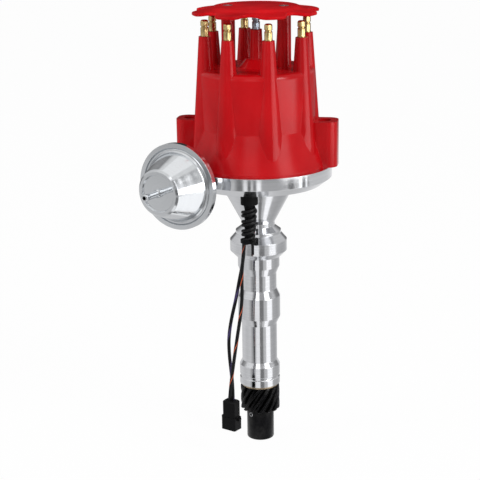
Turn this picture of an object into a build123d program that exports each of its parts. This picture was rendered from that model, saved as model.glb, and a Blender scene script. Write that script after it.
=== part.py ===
from build123d import *
import math
import os

# Ignition distributor for an eight-cylinder engine: a turned aluminium housing with a shaft and
# helical gear below, a screw-down cap with nine terminals above, a magnetic pickup, mechanical and
# vacuum advance between them, and a coiled two-wire lead.
# Millimetres. Z runs up the shaft axis, X runs through the two screw ears of the cap, and the
# origin is on the shaft axis in the plane where the flange seats on the engine.

os.makedirs("parts", exist_ok=True)

# ------------------------------------------------------------------ driving dimensions

# fits
turning_clearance = 0.04        # radial, between a shaft and what turns on it
passing_gap = 0.3               # between parts that pass each other without touching

# shaft, bush and bearing
shaft_diameter = 12.7
bush_wall = 1.65
bush_length = 24.0
bearing_diameter = 28.6
bearing_width = 7.94
bearing_race_wall = 2.3
bearing_ball_count = 9
ring_thickness = 1.1            # snap rings
ring_depth = 0.85               # how far a snap ring enters its groove

# shank, from its foot up to the flange
shank_length = 107.0
shank_diameter = 28.0
lower_collar_diameter = 32.2
lower_collar_length = 16.0
lower_collar_slope = 4.0
oil_groove_height = 6.6         # above the shank's foot
oil_groove_width = 1.4
oil_groove_depth = 0.8
mid_collar_diameter = 33.6
mid_collar_drop = 33.2          # below the flange's seat
mid_collar_length = 17.2
upper_collar_diameter = 33.0
upper_collar_length = 8.6
collar_slope = 6.0

# flange and the cone above it
flange_diameter = 44.8
flange_seat_diameter = 35.8
flange_land_bottom_z = 4.6
flange_land_top_z = 13.4
flange_shoulder_diameter = 35.6
flange_shoulder_bottom_z = 18.6
flange_shoulder_top_z = 20.8
neck_diameter = 26.0
neck_bottom_z = 24.4
neck_top_z = 27.5
cone_top_diameter = 59.6

# bowl
bowl_diameter = 115.6
bowl_bottom_z = 59.0
bowl_height = 15.0
bowl_slope_width = 7.8          # slope between the bowl's underside and its wall
bowl_slope_height = 6.0
bowl_rim_width = 11.3
bowl_floor_thickness = 3.5
cap_screw_hole_spare = 1.5      # below the screw's end

# cap
cap_ledge = 4.1                 # bare rim of the bowl outside the cap
cap_height = 75.0
cap_flare = 8.9                 # from the cap's side out to its skirt
cap_flare_height = 30.0
cap_top_round = 4.5
cap_top_thickness = 7.0
cap_wall = 6.6
cap_register_depth = 3.0
cap_register_width = 3.2
cap_register_clearance = 0.2
cap_skirt_height = 1.6

# towers and terminals
tower_count = 8
tower_inset = 5.0               # from the cap's side in to the towers' axes
tower_top_diameter = 9.2
tower_taper = 0.0705            # radius gained for each millimetre down
tower_height = 25.0             # above the cap's top
tower_foot_height = 10.0        # above the cap's seat, where its rib starts
terminal_diameter = 6.3
terminal_shank_diameter = 5.0   # moulded in, under the stem
terminal_stem = 6.6
terminal_groove = 1.4
terminal_groove_depth = 0.7
terminal_head = 4.5
terminal_groove_slope = 0.4
terminal_nose = 1.4
coil_terminal_stem = 5.6
coil_terminal_head = 4.0
coil_tower_top_diameter = 9.0
coil_tower_foot_diameter = 10.6
coil_tower_height = 28.8
coil_pedestal_diameter = 27.0
coil_pedestal_top_diameter = 17.0
coil_pedestal_height = 6.5

# screw ears of the cap
ear_width = 23.0
ear_overhang = 4.9              # beyond the bowl's rim
ear_height = 35.0
ear_corner = 7.5
cap_screw_diameter = 5.0
cap_screw_length = 19.0
cap_screw_head_diameter = 8.6
cap_screw_head_height = 4.4
cap_screw_pocket_diameter = 10.4
cap_screw_pocket_floor = 11.0   # above the cap's seat

# wire retainer on its two posts
post_spacing = 43.0
post_diameter = 10.5
post_height = 44.4              # above the cap's top
post_root = 1.0                 # sunk into the cap's rounded edge
retainer_diameter = 98.0
retainer_thickness = 2.4
retainer_flat_diameter = 52.0   # level middle of its top
retainer_seat_diameter = 60.0   # level middle of its underside
retainer_droop = 3.5            # of its edge below the middle
retainer_turn = 3.5             # of its notches from the posts
retainer_notch_diameter = 17.0
retainer_notch_inset = 0.5      # of its centre inside the plate's edge
retainer_lobe_round = 6.5
retainer_screw_diameter = 4.0
retainer_screw_head_diameter = 7.6
retainer_sink_angle = 82.0      # of its screws' heads, flush with the top
retainer_screw_length = 14.0

# drive gear, its hub and the foot of the shaft
gear_teeth = 13
gear_diameter = 31.4
gear_tooth_height = 3.3
gear_width = 20.6
gear_helix_angle = 37.0         # at the tips, right hand
gear_twist_steps = 5
gear_tip_share = 0.26           # of the tooth pitch
gear_root_share = 0.66
hub_diameter = 21.8
hub_length = 25.0
hub_chamfer = 0.8
roll_pin_diameter = 4.0
roll_pin_drop = 3.6             # centre below the gear's teeth
roll_pin_angle = -125.0
thrust_washer_diameter = 29.0
thrust_washer_thickness = 1.6
shaft_end_play = 0.35
drive_slot_width = 4.8
drive_slot_depth = 6.5
shaft_foot_recess = 1.5         # shaft end above the hub's lower face

# pickup in the bowl
plate_thickness = 2.0
plate_lift = 2.05               # above the bowl's floor
plate_pivot_wall = 3.2          # round the bearing
plate_step_width = 2.0
plate_step_gap = 0.05
plate_rim_clearance = 2.5
pickup_angle = -38.0
pickup_length = 14.0
pickup_width = 24.0
pickup_height = 11.0
pickup_edge = 6.0               # from its outer end to the plate's rim
pole_tip_width = 9.0
pole_tip_height = 5.0
air_gap = 0.7
reluctor_diameter = 40.0
reluctor_thickness = 5.0
reluctor_root_diameter = 29.0
reluctor_tooth_width = 3.4
reluctor_lift = 1.5             # above the sleeve's foot

# mechanical advance
sleeve_wall = 2.65
sleeve_lift = 0.45              # above the bowl's pivot
weight_plate_diameter = 60.0
weight_plate_thickness = 2.5
weight_plate_lift = 4.5         # above the reluctor
weight_thickness = 5.0
weight_edge = 2.5               # from the plate's rim in to the weights
weight_cam_clearance = 1.8
weight_corner = 1.6
weight_half_span = 56.0
weight_pin_diameter = 5.0
weight_pin_inset = 8.5          # from the plate's rim
weight_pin_offset_angle = 45.0  # from the weight's middle
weight_pin_height = 9.0
rotor_pillar_diameter = 7.6
rotor_pillar_inset = 5.4        # from the plate's rim
rotor_pillar_height = 11.0
cam_lobe_height = 3.85          # above the shaft
cam_wall = 2.15
cam_arm_thickness = 1.6
cam_arm_length = 36.0
cam_arm_width = 7.0
cam_arm_angle = 100.0
spring_post_radius = 14.6
shaft_top_lift = 0.6            # above the cam's arm
spring_post_diameter = 3.0
spring_post_height = 2.2
advance_spring_diameter = 3.4
advance_spring_wire = 0.9
advance_spring_body = 9.0

# rotor and brush
rotor_base_overhang = 1.0       # beyond the weight plate
rotor_base_thickness = 3.2
rotor_hub_diameter = 26.0
rotor_hub_top_diameter = 17.0
rotor_arm_width = 10.0
rotor_arm_drop = 27.0           # below the cap's ceiling
rotor_arm_thickness = 7.0
rotor_screw_diameter = 3.5
rotor_screw_head_diameter = 6.4
rotor_screw_head_height = 2.2
rotor_screw_length = 9.0
rotor_screw_hole_spare = 0.6
blade_width = 7.0
blade_thickness = 1.2
blade_tip_height = 5.0
blade_tip_length = 2.6
rotor_gap = 1.0                 # from the blade's tip to the terminals
rotor_angle = -67.5
contact_leaf_gap = 0.2          # to the brush
contact_leaf_width = 5.0
contact_leaf_taper = 12.0
brush_diameter = 4.8
brush_length = 10.0
brush_reach = 6.5               # below its boss
brush_boss_diameter = 16.0
brush_boss_drop = 12.0
brush_spring_wire = 0.8

# vacuum canister
vac_angle = -112.0              # direction that the nipple points
vac_axis_offset = 24.5          # of its axis from the shaft's
vac_axis_height = 5.6           # above the bowl's floor
vac_standoff = 4.7              # from the bowl's wall to the canister's rear shell
vac_diameter = 65.6
vac_sheet = 1.2
vac_rim_width = 3.4
vac_dome_foot_diameter = 52.6
vac_dome_top_diameter = 35.4
vac_dome_height = 27.0
vac_recess_diameter = 27.0
vac_recess_depth = 1.6
vac_pan_diameter = 50.0
vac_pan_depth = 11.0
nipple_diameter = 4.8
nipple_bore_diameter = 3.0
nipple_tip_distance = 43.5      # from the flange plane
nipple_barb_diameter = 5.6
nipple_foot_diameter = 6.4
diaphragm_thickness = 0.8
diaphragm_cup_diameter = 30.0
vac_spring_diameter = 18.0
vacuum_travel_degrees = 10.0
link_rod_diameter = 2.4
link_eye_diameter = 8.0
link_pin_diameter = 3.2
link_pin_height = 3.6
link_eye_thickness = 1.2
arm_width = 16.0
arm_thickness = 1.6
arm_reach_in = 36.8             # from the bowl's wall in to its inner end
arm_tab_top = 9.0               # above the canister's axis
arm_screw_edge = 4.0
arm_screw_diameter = 3.5
arm_screw_spacing = 9.0
arm_slot_clearance = 0.5
arm_slot_depth = 40.5
arm_slot_overrun = 8.7          # past the bowl's wall

# pickup lead
lead_exit_radius = 40.0
grommet_diameter = 13.2
grommet_drop = 8.0
grommet_neck_diameter = 9.0
grommet_flange_diameter = 11.5
grommet_flange_thickness = 1.2
lead_core_diameter = 4.0
coil_top_diameter = 12.2
coil_foot_diameter = 10.0
coil_lean = 1.2                 # of its foot to the left
coil_length = 32.0
wire_diameter = 2.7
tie_width = 2.4
tie_thickness = 0.9
tie_head = 3.2
tie_height = 2.0                # above the coil's foot
tie_head_angle = -50.0
tie_tail_length = 8.4
plug_width = 11.4
plug_depth = 8.4
plug_body_length = 14.0
plug_top_chamfer = 1.0
plug_skirt_width = 13.0
plug_skirt_depth = 9.6
plug_skirt_length = 10.0
plug_wall = 1.3
plug_turn = -26.0
plug_wing_width = 17.0
plug_wing_depth = 3.0
plug_wing_height = 1.8
plug_pin_size = 1.5
plug_pin_spacing = 4.6
plug_pin_length = 7.0

# ------------------------------------------------------------------ derived dimensions

shaft_radius = shaft_diameter / 2
shaft_hole_radius = shaft_radius + turning_clearance
bore_radius = shaft_radius + bush_wall
bearing_radius = bearing_diameter / 2
bowl_radius = bowl_diameter / 2
bowl_inner_radius = bowl_radius - bowl_rim_width
bowl_floor_z = bowl_bottom_z + bowl_floor_thickness
bowl_rim_z = bowl_bottom_z + bowl_height
bowl_wall_bottom_z = bowl_bottom_z + bowl_slope_height

shank_bottom_z = -shank_length
lower_collar_top_z = shank_bottom_z + lower_collar_length
oil_groove_z = shank_bottom_z + oil_groove_height
mid_collar_top_z = -mid_collar_drop
mid_collar_bottom_z = mid_collar_top_z - mid_collar_length

plate_bottom_z = bowl_floor_z + plate_lift
plate_top_z = plate_bottom_z + plate_thickness
plate_pivot_radius = bearing_radius + plate_pivot_wall
plate_step_radius = plate_pivot_radius + plate_step_width
plate_radius = bowl_inner_radius - plate_rim_clearance
plate_ring_z = plate_top_z + 0.1
pivot_top_z = plate_ring_z + ring_thickness + 0.8
bearing_ring_z = pivot_top_z - ring_thickness - 3.9
bearing_bottom_z = bearing_ring_z - bearing_width

cap_top_z = bowl_rim_z + cap_height
cap_ceiling_z = cap_top_z - cap_top_thickness
cap_skirt_radius = bowl_radius - cap_ledge
cap_body_radius = cap_skirt_radius - cap_flare
cap_inner_radius = cap_body_radius - cap_wall
cap_register_radius = bowl_inner_radius - cap_register_clearance
cap_mouth_radius = cap_register_radius - cap_register_width
cap_flare_top_z = bowl_rim_z + cap_flare_height
tower_circle_radius = cap_body_radius - tower_inset
tower_top_z = cap_top_z + tower_height
tower_foot_z = bowl_rim_z + tower_foot_height
tower_foot_radius = tower_top_diameter / 2 + tower_taper * (tower_top_z - tower_foot_z)
coil_tower_top_z = cap_top_z + coil_tower_height
terminal_radius = terminal_diameter / 2
terminal_shank_radius = terminal_shank_diameter / 2
cap_screw_radius = bowl_radius - bowl_rim_width / 2
cap_screw_seat_z = bowl_rim_z + cap_screw_pocket_floor
ear_reach = bowl_radius + ear_overhang
ear_top_z = bowl_rim_z + ear_height
retainer_bottom_z = cap_top_z + post_height
first_tower_angle = 180 / tower_count

gear_top_z = shank_bottom_z - thrust_washer_thickness - shaft_end_play
gear_bottom_z = gear_top_z - gear_width
hub_bottom_z = gear_bottom_z - hub_length
shaft_bottom_z = hub_bottom_z + shaft_foot_recess

sleeve_radius = shaft_radius + sleeve_wall
sleeve_bottom_z = pivot_top_z + sleeve_lift
reluctor_bottom_z = sleeve_bottom_z + reluctor_lift
weight_plate_bottom_z = reluctor_bottom_z + reluctor_thickness + weight_plate_lift
weight_plate_top_z = weight_plate_bottom_z + weight_plate_thickness
weight_plate_radius = weight_plate_diameter / 2
weight_outer_radius = weight_plate_radius - weight_edge
weight_pin_radius = weight_plate_radius - weight_pin_inset
rotor_pillar_radius = weight_plate_radius - rotor_pillar_inset
cam_long_radius = shaft_radius + cam_lobe_height
cam_short_radius = shaft_radius + cam_wall
weight_inner_radius = cam_long_radius + weight_cam_clearance
weight_bottom_z = weight_plate_top_z + passing_gap
weight_top_z = weight_bottom_z + weight_thickness
cam_arm_z = weight_top_z + passing_gap
cam_top_z = cam_arm_z + cam_arm_thickness
shaft_top_z = cam_top_z + shaft_top_lift
rotor_base_z = weight_plate_top_z + rotor_pillar_height
rotor_base_top_z = rotor_base_z + rotor_base_thickness
blade_tip_radius = tower_circle_radius - terminal_shank_radius - rotor_gap
rotor_base_radius = weight_plate_radius + rotor_base_overhang
rotor_arm_top_z = cap_ceiling_z - rotor_arm_drop
brush_bottom_z = cap_ceiling_z - brush_boss_drop - brush_reach
brush_top_z = brush_bottom_z + brush_length
contact_leaf_top_z = brush_bottom_z - contact_leaf_gap
terminal_foot_z = rotor_arm_top_z - blade_tip_height / 2
pickup_inner_radius = plate_radius - pickup_edge - pickup_length
spring_z = cam_top_z + spring_post_height / 2

vac_axis_z = bowl_floor_z + vac_axis_height
vac_flange_distance = bowl_radius + vac_standoff + vac_pan_depth
arm_inner_distance = bowl_radius - arm_reach_in
vac_direction = Vector(math.cos(math.radians(vac_angle)), math.sin(math.radians(vac_angle)), 0)
vac_side = Vector(vac_direction.Y, -vac_direction.X, 0)
vac_foot = vac_side * vac_axis_offset + Vector(0, 0, vac_axis_z)
vac_centre = vac_foot + vac_direction * vac_flange_distance
vac_section = Plane(origin=vac_centre, x_dir=(0, 0, 1), z_dir=Vector(0, 0, 1).cross(vac_direction))
vac_axis = Axis(vac_centre, vac_direction)
vac_face = Plane(origin=vac_centre, x_dir=(0, 0, 1), z_dir=vac_direction)
link_pin_radius = vac_axis_offset / math.cos(math.radians(vacuum_travel_degrees / 2))
link_pin_angle = vac_angle - 90 - vacuum_travel_degrees / 2
link_pin = Vector(
    link_pin_radius * math.cos(math.radians(link_pin_angle)),
    link_pin_radius * math.sin(math.radians(link_pin_angle)),
    plate_top_z,
)


def polar(radius, angle, z=0.0):
    """Point at a radius and an angle in degrees about the shaft axis."""
    return (radius * math.cos(math.radians(angle)), radius * math.sin(math.radians(angle)), z)


# ------------------------------------------------------------------ housing

shank_radius = shank_diameter / 2
lower_collar_radius = lower_collar_diameter / 2
mid_collar_radius = mid_collar_diameter / 2
upper_collar_radius = upper_collar_diameter / 2
flange_radius = flange_diameter / 2
shoulder_radius = flange_shoulder_diameter / 2
neck_radius = neck_diameter / 2
oil_groove_radius = lower_collar_radius - oil_groove_depth

with BuildPart() as housing:
    with BuildSketch(Plane.XZ):
        with BuildLine():
            Polyline(
                (bore_radius, shank_bottom_z),
                (lower_collar_radius, shank_bottom_z),
                (lower_collar_radius, oil_groove_z - oil_groove_width),
                (oil_groove_radius, oil_groove_z - oil_groove_width / 2),
                (oil_groove_radius, oil_groove_z + oil_groove_width / 2),
                (lower_collar_radius, oil_groove_z + oil_groove_width),
                (lower_collar_radius, lower_collar_top_z),
                (shank_radius, lower_collar_top_z + lower_collar_slope),
                (shank_radius, mid_collar_bottom_z - collar_slope),
                (mid_collar_radius, mid_collar_bottom_z),
                (mid_collar_radius, mid_collar_top_z),
                (shank_radius, mid_collar_top_z + collar_slope),
                (shank_radius, -upper_collar_length - collar_slope),
                (upper_collar_radius, -upper_collar_length),
                (upper_collar_radius, 0),
                (flange_seat_diameter / 2, 0),
                (flange_radius, flange_land_bottom_z),
                (flange_radius, flange_land_top_z),
                (shoulder_radius, flange_shoulder_bottom_z),
                (shoulder_radius, flange_shoulder_top_z),
                (neck_radius, neck_bottom_z),
                (neck_radius, neck_top_z),
                (cone_top_diameter / 2, bowl_bottom_z),
                (bowl_radius - bowl_slope_width, bowl_bottom_z),
                (bowl_radius, bowl_wall_bottom_z),
                (bowl_radius, bowl_rim_z),
                (bowl_inner_radius, bowl_rim_z),
                (bowl_inner_radius, bowl_floor_z),
                (plate_step_radius, bowl_floor_z),
                (plate_step_radius, plate_bottom_z - plate_step_gap),
                (plate_pivot_radius, plate_bottom_z - plate_step_gap),
                (plate_pivot_radius, plate_ring_z),
                (plate_pivot_radius - ring_depth, plate_ring_z),
                (plate_pivot_radius - ring_depth, plate_ring_z + ring_thickness),
                (plate_pivot_radius, plate_ring_z + ring_thickness),
                (plate_pivot_radius, pivot_top_z),
                (bearing_radius, pivot_top_z),
                (bearing_radius, bearing_ring_z + ring_thickness),
                (bearing_radius + ring_depth, bearing_ring_z + ring_thickness),
                (bearing_radius + ring_depth, bearing_ring_z),
                (bearing_radius, bearing_ring_z),
                (bearing_radius, bearing_bottom_z),
                (bore_radius, bearing_bottom_z),
                close=True,
            )
        make_face()
    revolve(axis=Axis.Z)
    with Locations((cap_screw_radius, 0, bowl_rim_z), (-cap_screw_radius, 0, bowl_rim_z)):
        Hole(cap_screw_diameter / 2, depth=cap_screw_length - cap_screw_pocket_floor + cap_screw_hole_spare)
    with Locations((0, -lead_exit_radius, bowl_floor_z)):
        Hole(grommet_neck_diameter / 2, depth=2 * bowl_floor_thickness)
    # slot in the bowl's wall for the canister's arm and link
    with BuildSketch(Plane.XY.offset(bowl_floor_z)):
        slot_middle = vac_foot + vac_direction * (bowl_radius - arm_slot_depth / 2 + arm_slot_overrun)
        with Locations((slot_middle.X, slot_middle.Y)):
            Rectangle(arm_slot_depth, arm_width + 2 * arm_slot_clearance, rotation=vac_angle)
    extrude(amount=bowl_rim_z - cap_register_depth - bowl_floor_z, mode=Mode.SUBTRACT)
    with BuildSketch(Plane.XY.offset(bowl_floor_z)):
        for reach in (0, arm_screw_spacing):
            place = vac_foot + vac_direction * (arm_inner_distance + arm_screw_edge + reach)
            with Locations((place.X, place.Y)):
                Circle(arm_screw_diameter / 2)
    extrude(amount=-bowl_floor_thickness, mode=Mode.SUBTRACT)
housing.part.label = "housing"
export_step(housing.part, "parts/housing.step")

with BuildPart() as lower_bush:
    with BuildSketch(Plane.XY.offset(shank_bottom_z)):
        Circle(bore_radius)
        Circle(shaft_hole_radius, mode=Mode.SUBTRACT)
    extrude(amount=bush_length)
lower_bush.part.label = "lower_bush"
export_step(lower_bush.part, "parts/lower_bush.step")

# ------------------------------------------------------------------ upper bearing and snap rings

with BuildPart() as bearing_outer_race:
    with BuildSketch(Plane.XY.offset(bearing_bottom_z)):
        Circle(bearing_radius)
        Circle(bearing_radius - bearing_race_wall, mode=Mode.SUBTRACT)
    extrude(amount=bearing_width)
bearing_outer_race.part.label = "bearing_outer_race"
export_step(bearing_outer_race.part, "parts/bearing_outer_race.step")

with BuildPart() as bearing_inner_race:
    with BuildSketch(Plane.XY.offset(bearing_bottom_z)):
        Circle(shaft_radius + bearing_race_wall)
        Circle(shaft_radius, mode=Mode.SUBTRACT)
    extrude(amount=bearing_width)
bearing_inner_race.part.label = "bearing_inner_race"
export_step(bearing_inner_race.part, "parts/bearing_inner_race.step")

ball_circle_radius = (bearing_radius + shaft_radius) / 2
ball_radius = (bearing_radius - shaft_radius) / 2 - bearing_race_wall - turning_clearance

with BuildPart() as bearing_balls:
    with Locations((0, 0, bearing_bottom_z + bearing_width / 2)):
        with PolarLocations(ball_circle_radius, bearing_ball_count):
            Sphere(ball_radius)
bearing_balls.part.label = "bearing_balls"
export_step(bearing_balls.part, "parts/bearing_balls.step")

with BuildPart() as bearing_snap_ring:
    with BuildSketch(Plane.XY.offset(bearing_ring_z)):
        Circle(bearing_radius + ring_depth)
        Circle(bearing_radius - 1.4, mode=Mode.SUBTRACT)
        with Locations((bearing_radius, 0)):
            Rectangle(8, 5, mode=Mode.SUBTRACT)
    extrude(amount=ring_thickness)
bearing_snap_ring.part.label = "bearing_snap_ring"
export_step(bearing_snap_ring.part, "parts/bearing_snap_ring.step")

with BuildPart() as plate_snap_ring:
    with BuildSketch(Plane.XY.offset(plate_ring_z)):
        Circle(plate_pivot_radius + 1.6)
        Circle(plate_pivot_radius - ring_depth, mode=Mode.SUBTRACT)
        with Locations((0, plate_pivot_radius)):
            Rectangle(5, 8, mode=Mode.SUBTRACT)
    extrude(amount=ring_thickness)
plate_snap_ring.part.label = "plate_snap_ring"
export_step(plate_snap_ring.part, "parts/plate_snap_ring.step")

# ------------------------------------------------------------------ shaft, gear and washer

roll_pin_plane = Plane(
    origin=(0, 0, gear_bottom_z - roll_pin_drop), x_dir=(0, 0, 1), z_dir=polar(1, roll_pin_angle)
)

with BuildPart() as main_shaft:
    with BuildSketch(Plane.XY.offset(shaft_bottom_z)):
        Circle(shaft_radius)
    extrude(amount=shaft_top_z - shaft_bottom_z)
    chamfer(main_shaft.faces().sort_by(Axis.Z)[-1].edges(), 0.4)
    # slot that drives the oil pump's rod
    with BuildSketch(Plane.XY.offset(shaft_bottom_z)):
        Rectangle(shaft_diameter * 2, drive_slot_width)
    extrude(amount=drive_slot_depth, mode=Mode.SUBTRACT)
    with BuildSketch(roll_pin_plane):
        Circle(roll_pin_diameter / 2)
    extrude(amount=shaft_diameter, both=True, mode=Mode.SUBTRACT)
main_shaft.part.label = "main_shaft"
export_step(main_shaft.part, "parts/main_shaft.step")


def gear_outline(turn):
    """Corners of the toothed outline, turned by an angle in degrees."""
    pitch = 360 / gear_teeth
    tip_radius = gear_diameter / 2
    root_radius = tip_radius - gear_tooth_height
    corners = []
    for tooth in range(gear_teeth):
        middle = tooth * pitch + turn
        corners.append(polar(root_radius, middle - pitch * gear_root_share / 2)[:2])
        corners.append(polar(tip_radius, middle - pitch * gear_tip_share / 2)[:2])
        corners.append(polar(tip_radius, middle + pitch * gear_tip_share / 2)[:2])
        corners.append(polar(root_radius, middle + pitch * gear_root_share / 2)[:2])
    return corners


# turn of the teeth over the whole width, from the lead of the helix
gear_twist = math.degrees(gear_width * math.tan(math.radians(gear_helix_angle)) / (gear_diameter / 2))

with BuildPart() as drive_gear:
    for step in range(gear_twist_steps + 1):
        share = step / gear_twist_steps
        with BuildSketch(Plane.XY.offset(gear_bottom_z + share * gear_width)):
            with BuildLine():
                Polyline(*gear_outline(share * gear_twist), close=True)
            make_face()
    loft(ruled=True)
    with BuildSketch(Plane.XY.offset(hub_bottom_z)):
        Circle(hub_diameter / 2)
    extrude(amount=hub_length)
    chamfer(drive_gear.faces().sort_by(Axis.Z)[0].edges(), hub_chamfer)
    with BuildSketch(Plane.XY.offset(hub_bottom_z)):
        Circle(shaft_radius)
    extrude(amount=hub_length + gear_width, mode=Mode.SUBTRACT)
    with BuildSketch(roll_pin_plane):
        Circle(roll_pin_diameter / 2)
    extrude(amount=hub_diameter, both=True, mode=Mode.SUBTRACT)
drive_gear.part.label = "drive_gear"
export_step(drive_gear.part, "parts/drive_gear.step")

with BuildPart() as gear_roll_pin:
    with BuildSketch(roll_pin_plane):
        Circle(roll_pin_diameter / 2)
        Circle(roll_pin_diameter / 2 - 0.9, mode=Mode.SUBTRACT)
    extrude(amount=hub_diameter / 2 - 0.4, both=True)
gear_roll_pin.part.label = "gear_roll_pin"
export_step(gear_roll_pin.part, "parts/gear_roll_pin.step")

with BuildPart() as thrust_washer:
    with BuildSketch(Plane.XY.offset(gear_top_z)):
        Circle(thrust_washer_diameter / 2)
        Circle(shaft_radius, mode=Mode.SUBTRACT)
    extrude(amount=thrust_washer_thickness)
thrust_washer.part.label = "thrust_washer"
export_step(thrust_washer.part, "parts/thrust_washer.step")

# ------------------------------------------------------------------ mechanical advance

with BuildPart() as advance_cam:
    with BuildSketch(Plane.XY.offset(weight_bottom_z)):
        Ellipse(cam_long_radius, cam_short_radius, rotation=cam_arm_angle)
    extrude(amount=weight_thickness + passing_gap)
    with BuildSketch(Plane.XY.offset(cam_arm_z)):
        SlotOverall(cam_arm_length, cam_arm_width, rotation=cam_arm_angle)
        Circle(cam_short_radius)
    extrude(amount=cam_arm_thickness)
    with BuildSketch(Plane.XY.offset(cam_top_z)):
        with PolarLocations(spring_post_radius, 2, start_angle=cam_arm_angle):
            Circle(spring_post_diameter / 2)
    extrude(amount=spring_post_height)
    with BuildSketch(Plane.XY.offset(weight_bottom_z)):
        Circle(shaft_radius)
    extrude(amount=cam_top_z - weight_bottom_z, mode=Mode.SUBTRACT)
advance_cam.part.label = "advance_cam"
export_step(advance_cam.part, "parts/advance_cam.step")

with BuildPart() as trigger_plate:
    with BuildSketch(Plane.XY.offset(sleeve_bottom_z)):
        Circle(sleeve_radius)
    extrude(amount=weight_plate_bottom_z - sleeve_bottom_z)
    with BuildSketch(Plane.XY.offset(weight_plate_bottom_z)):
        Circle(weight_plate_radius)
        with PolarLocations(weight_pin_radius, 2, start_angle=90 - weight_pin_offset_angle):
            Circle(weight_pin_diameter / 2, mode=Mode.SUBTRACT)
    extrude(amount=weight_plate_thickness)
    with BuildSketch(Plane.XY.offset(weight_plate_top_z)):
        with PolarLocations(rotor_pillar_radius, 2):
            Circle(rotor_pillar_diameter / 2)
    extrude(amount=rotor_pillar_height)
    with BuildSketch(Plane.XY.offset(sleeve_bottom_z)):
        Circle(shaft_hole_radius)
    extrude(amount=weight_plate_top_z - sleeve_bottom_z, mode=Mode.SUBTRACT)
    with Locations((rotor_pillar_radius, 0, rotor_base_z), (-rotor_pillar_radius, 0, rotor_base_z)):
        Hole(rotor_screw_diameter / 2, depth=rotor_screw_length - rotor_base_thickness + rotor_screw_hole_spare)
trigger_plate.part.label = "trigger_plate"
export_step(trigger_plate.part, "parts/trigger_plate.step")

with BuildPart() as reluctor:
    with BuildSketch(Plane.XY.offset(reluctor_bottom_z)):
        Circle(reluctor_root_diameter / 2)
        with PolarLocations(reluctor_diameter / 4, tower_count, start_angle=first_tower_angle):
            Rectangle(reluctor_diameter / 2, reluctor_tooth_width)
        Circle(reluctor_diameter / 2, mode=Mode.INTERSECT)
        Circle(sleeve_radius, mode=Mode.SUBTRACT)
    extrude(amount=reluctor_thickness)
reluctor.part.label = "reluctor"
export_step(reluctor.part, "parts/reluctor.step")

with BuildPart() as weight_pins:
    with BuildSketch(Plane.XY.offset(weight_plate_bottom_z)):
        with PolarLocations(weight_pin_radius, 2, start_angle=90 - weight_pin_offset_angle):
            Circle(weight_pin_diameter / 2)
    extrude(amount=weight_plate_thickness + weight_pin_height)
weight_pins.part.label = "weight_pins"
export_step(weight_pins.part, "parts/weight_pins.step")

for side, middle_angle in (("rear", 90.0), ("front", -90.0)):
    sector = [(0, 0)]
    for angle in (-weight_half_span, 0, weight_half_span):
        sector.append(polar(3 * weight_outer_radius, middle_angle + angle)[:2])
    with BuildPart() as advance_weight:
        with BuildSketch(Plane.XY.offset(weight_bottom_z)) as weight_sketch:
            Circle(weight_outer_radius)
            Circle(weight_inner_radius, mode=Mode.SUBTRACT)
            with BuildLine():
                Polyline(*sector, close=True)
            make_face(mode=Mode.INTERSECT)
            fillet(weight_sketch.vertices(), weight_corner)
            with Locations(polar(weight_pin_radius, middle_angle - weight_pin_offset_angle)[:2]):
                Circle(weight_pin_diameter / 2 + turning_clearance, mode=Mode.SUBTRACT)
        extrude(amount=weight_thickness)
    advance_weight.part.label = f"advance_weight_{side}"
    export_step(advance_weight.part, f"parts/advance_weight_{side}.step")

# each spring hooks from a cam post to a weight pin; only its body and two straight ends are shaped
with BuildPart() as advance_springs:
    for turn in (0, 180):
        post = Vector(*polar(spring_post_radius, cam_arm_angle + turn, spring_z))
        pin = Vector(*polar(weight_pin_radius, 90 - weight_pin_offset_angle + turn, spring_z))
        along = (pin - post).normalized()
        span = (pin - post).length - spring_post_diameter / 2 - weight_pin_diameter / 2 - passing_gap
        middle = post + along * (spring_post_diameter / 2 + passing_gap + span / 2)
        with BuildSketch(Plane(origin=middle, x_dir=(0, 0, 1), z_dir=along)):
            Circle(advance_spring_diameter / 2)
        extrude(amount=advance_spring_body / 2, both=True)
        with BuildSketch(Plane(origin=middle, x_dir=(0, 0, 1), z_dir=along)):
            Circle(advance_spring_wire / 2)
        extrude(amount=span / 2, both=True)
advance_springs.part.label = "advance_springs"
export_step(advance_springs.part, "parts/advance_springs.step")

# ------------------------------------------------------------------ rotor

with BuildPart() as rotor:
    with BuildSketch(Plane.XY.offset(rotor_base_z)):
        Circle(rotor_base_radius)
    extrude(amount=rotor_base_thickness)
    with BuildSketch(Plane.XY.offset(rotor_base_top_z)):
        Circle(rotor_hub_diameter / 2)
    with BuildSketch(Plane.XY.offset(rotor_arm_top_z)):
        Circle(rotor_hub_top_diameter / 2)
    loft()
    arm_reach = blade_tip_radius - blade_tip_length
    with BuildSketch(Plane.XY.offset(rotor_arm_top_z)):
        with Locations(polar(arm_reach / 2, rotor_angle)[:2]):
            Rectangle(arm_reach, rotor_arm_width, rotation=rotor_angle)
    extrude(amount=-rotor_arm_thickness)
    with Locations(
        (rotor_pillar_radius, 0, rotor_base_top_z), (-rotor_pillar_radius, 0, rotor_base_top_z)
    ):
        Hole(rotor_screw_diameter / 2, depth=rotor_base_thickness)
rotor.part.label = "rotor"
export_step(rotor.part, "parts/rotor.step")

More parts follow.
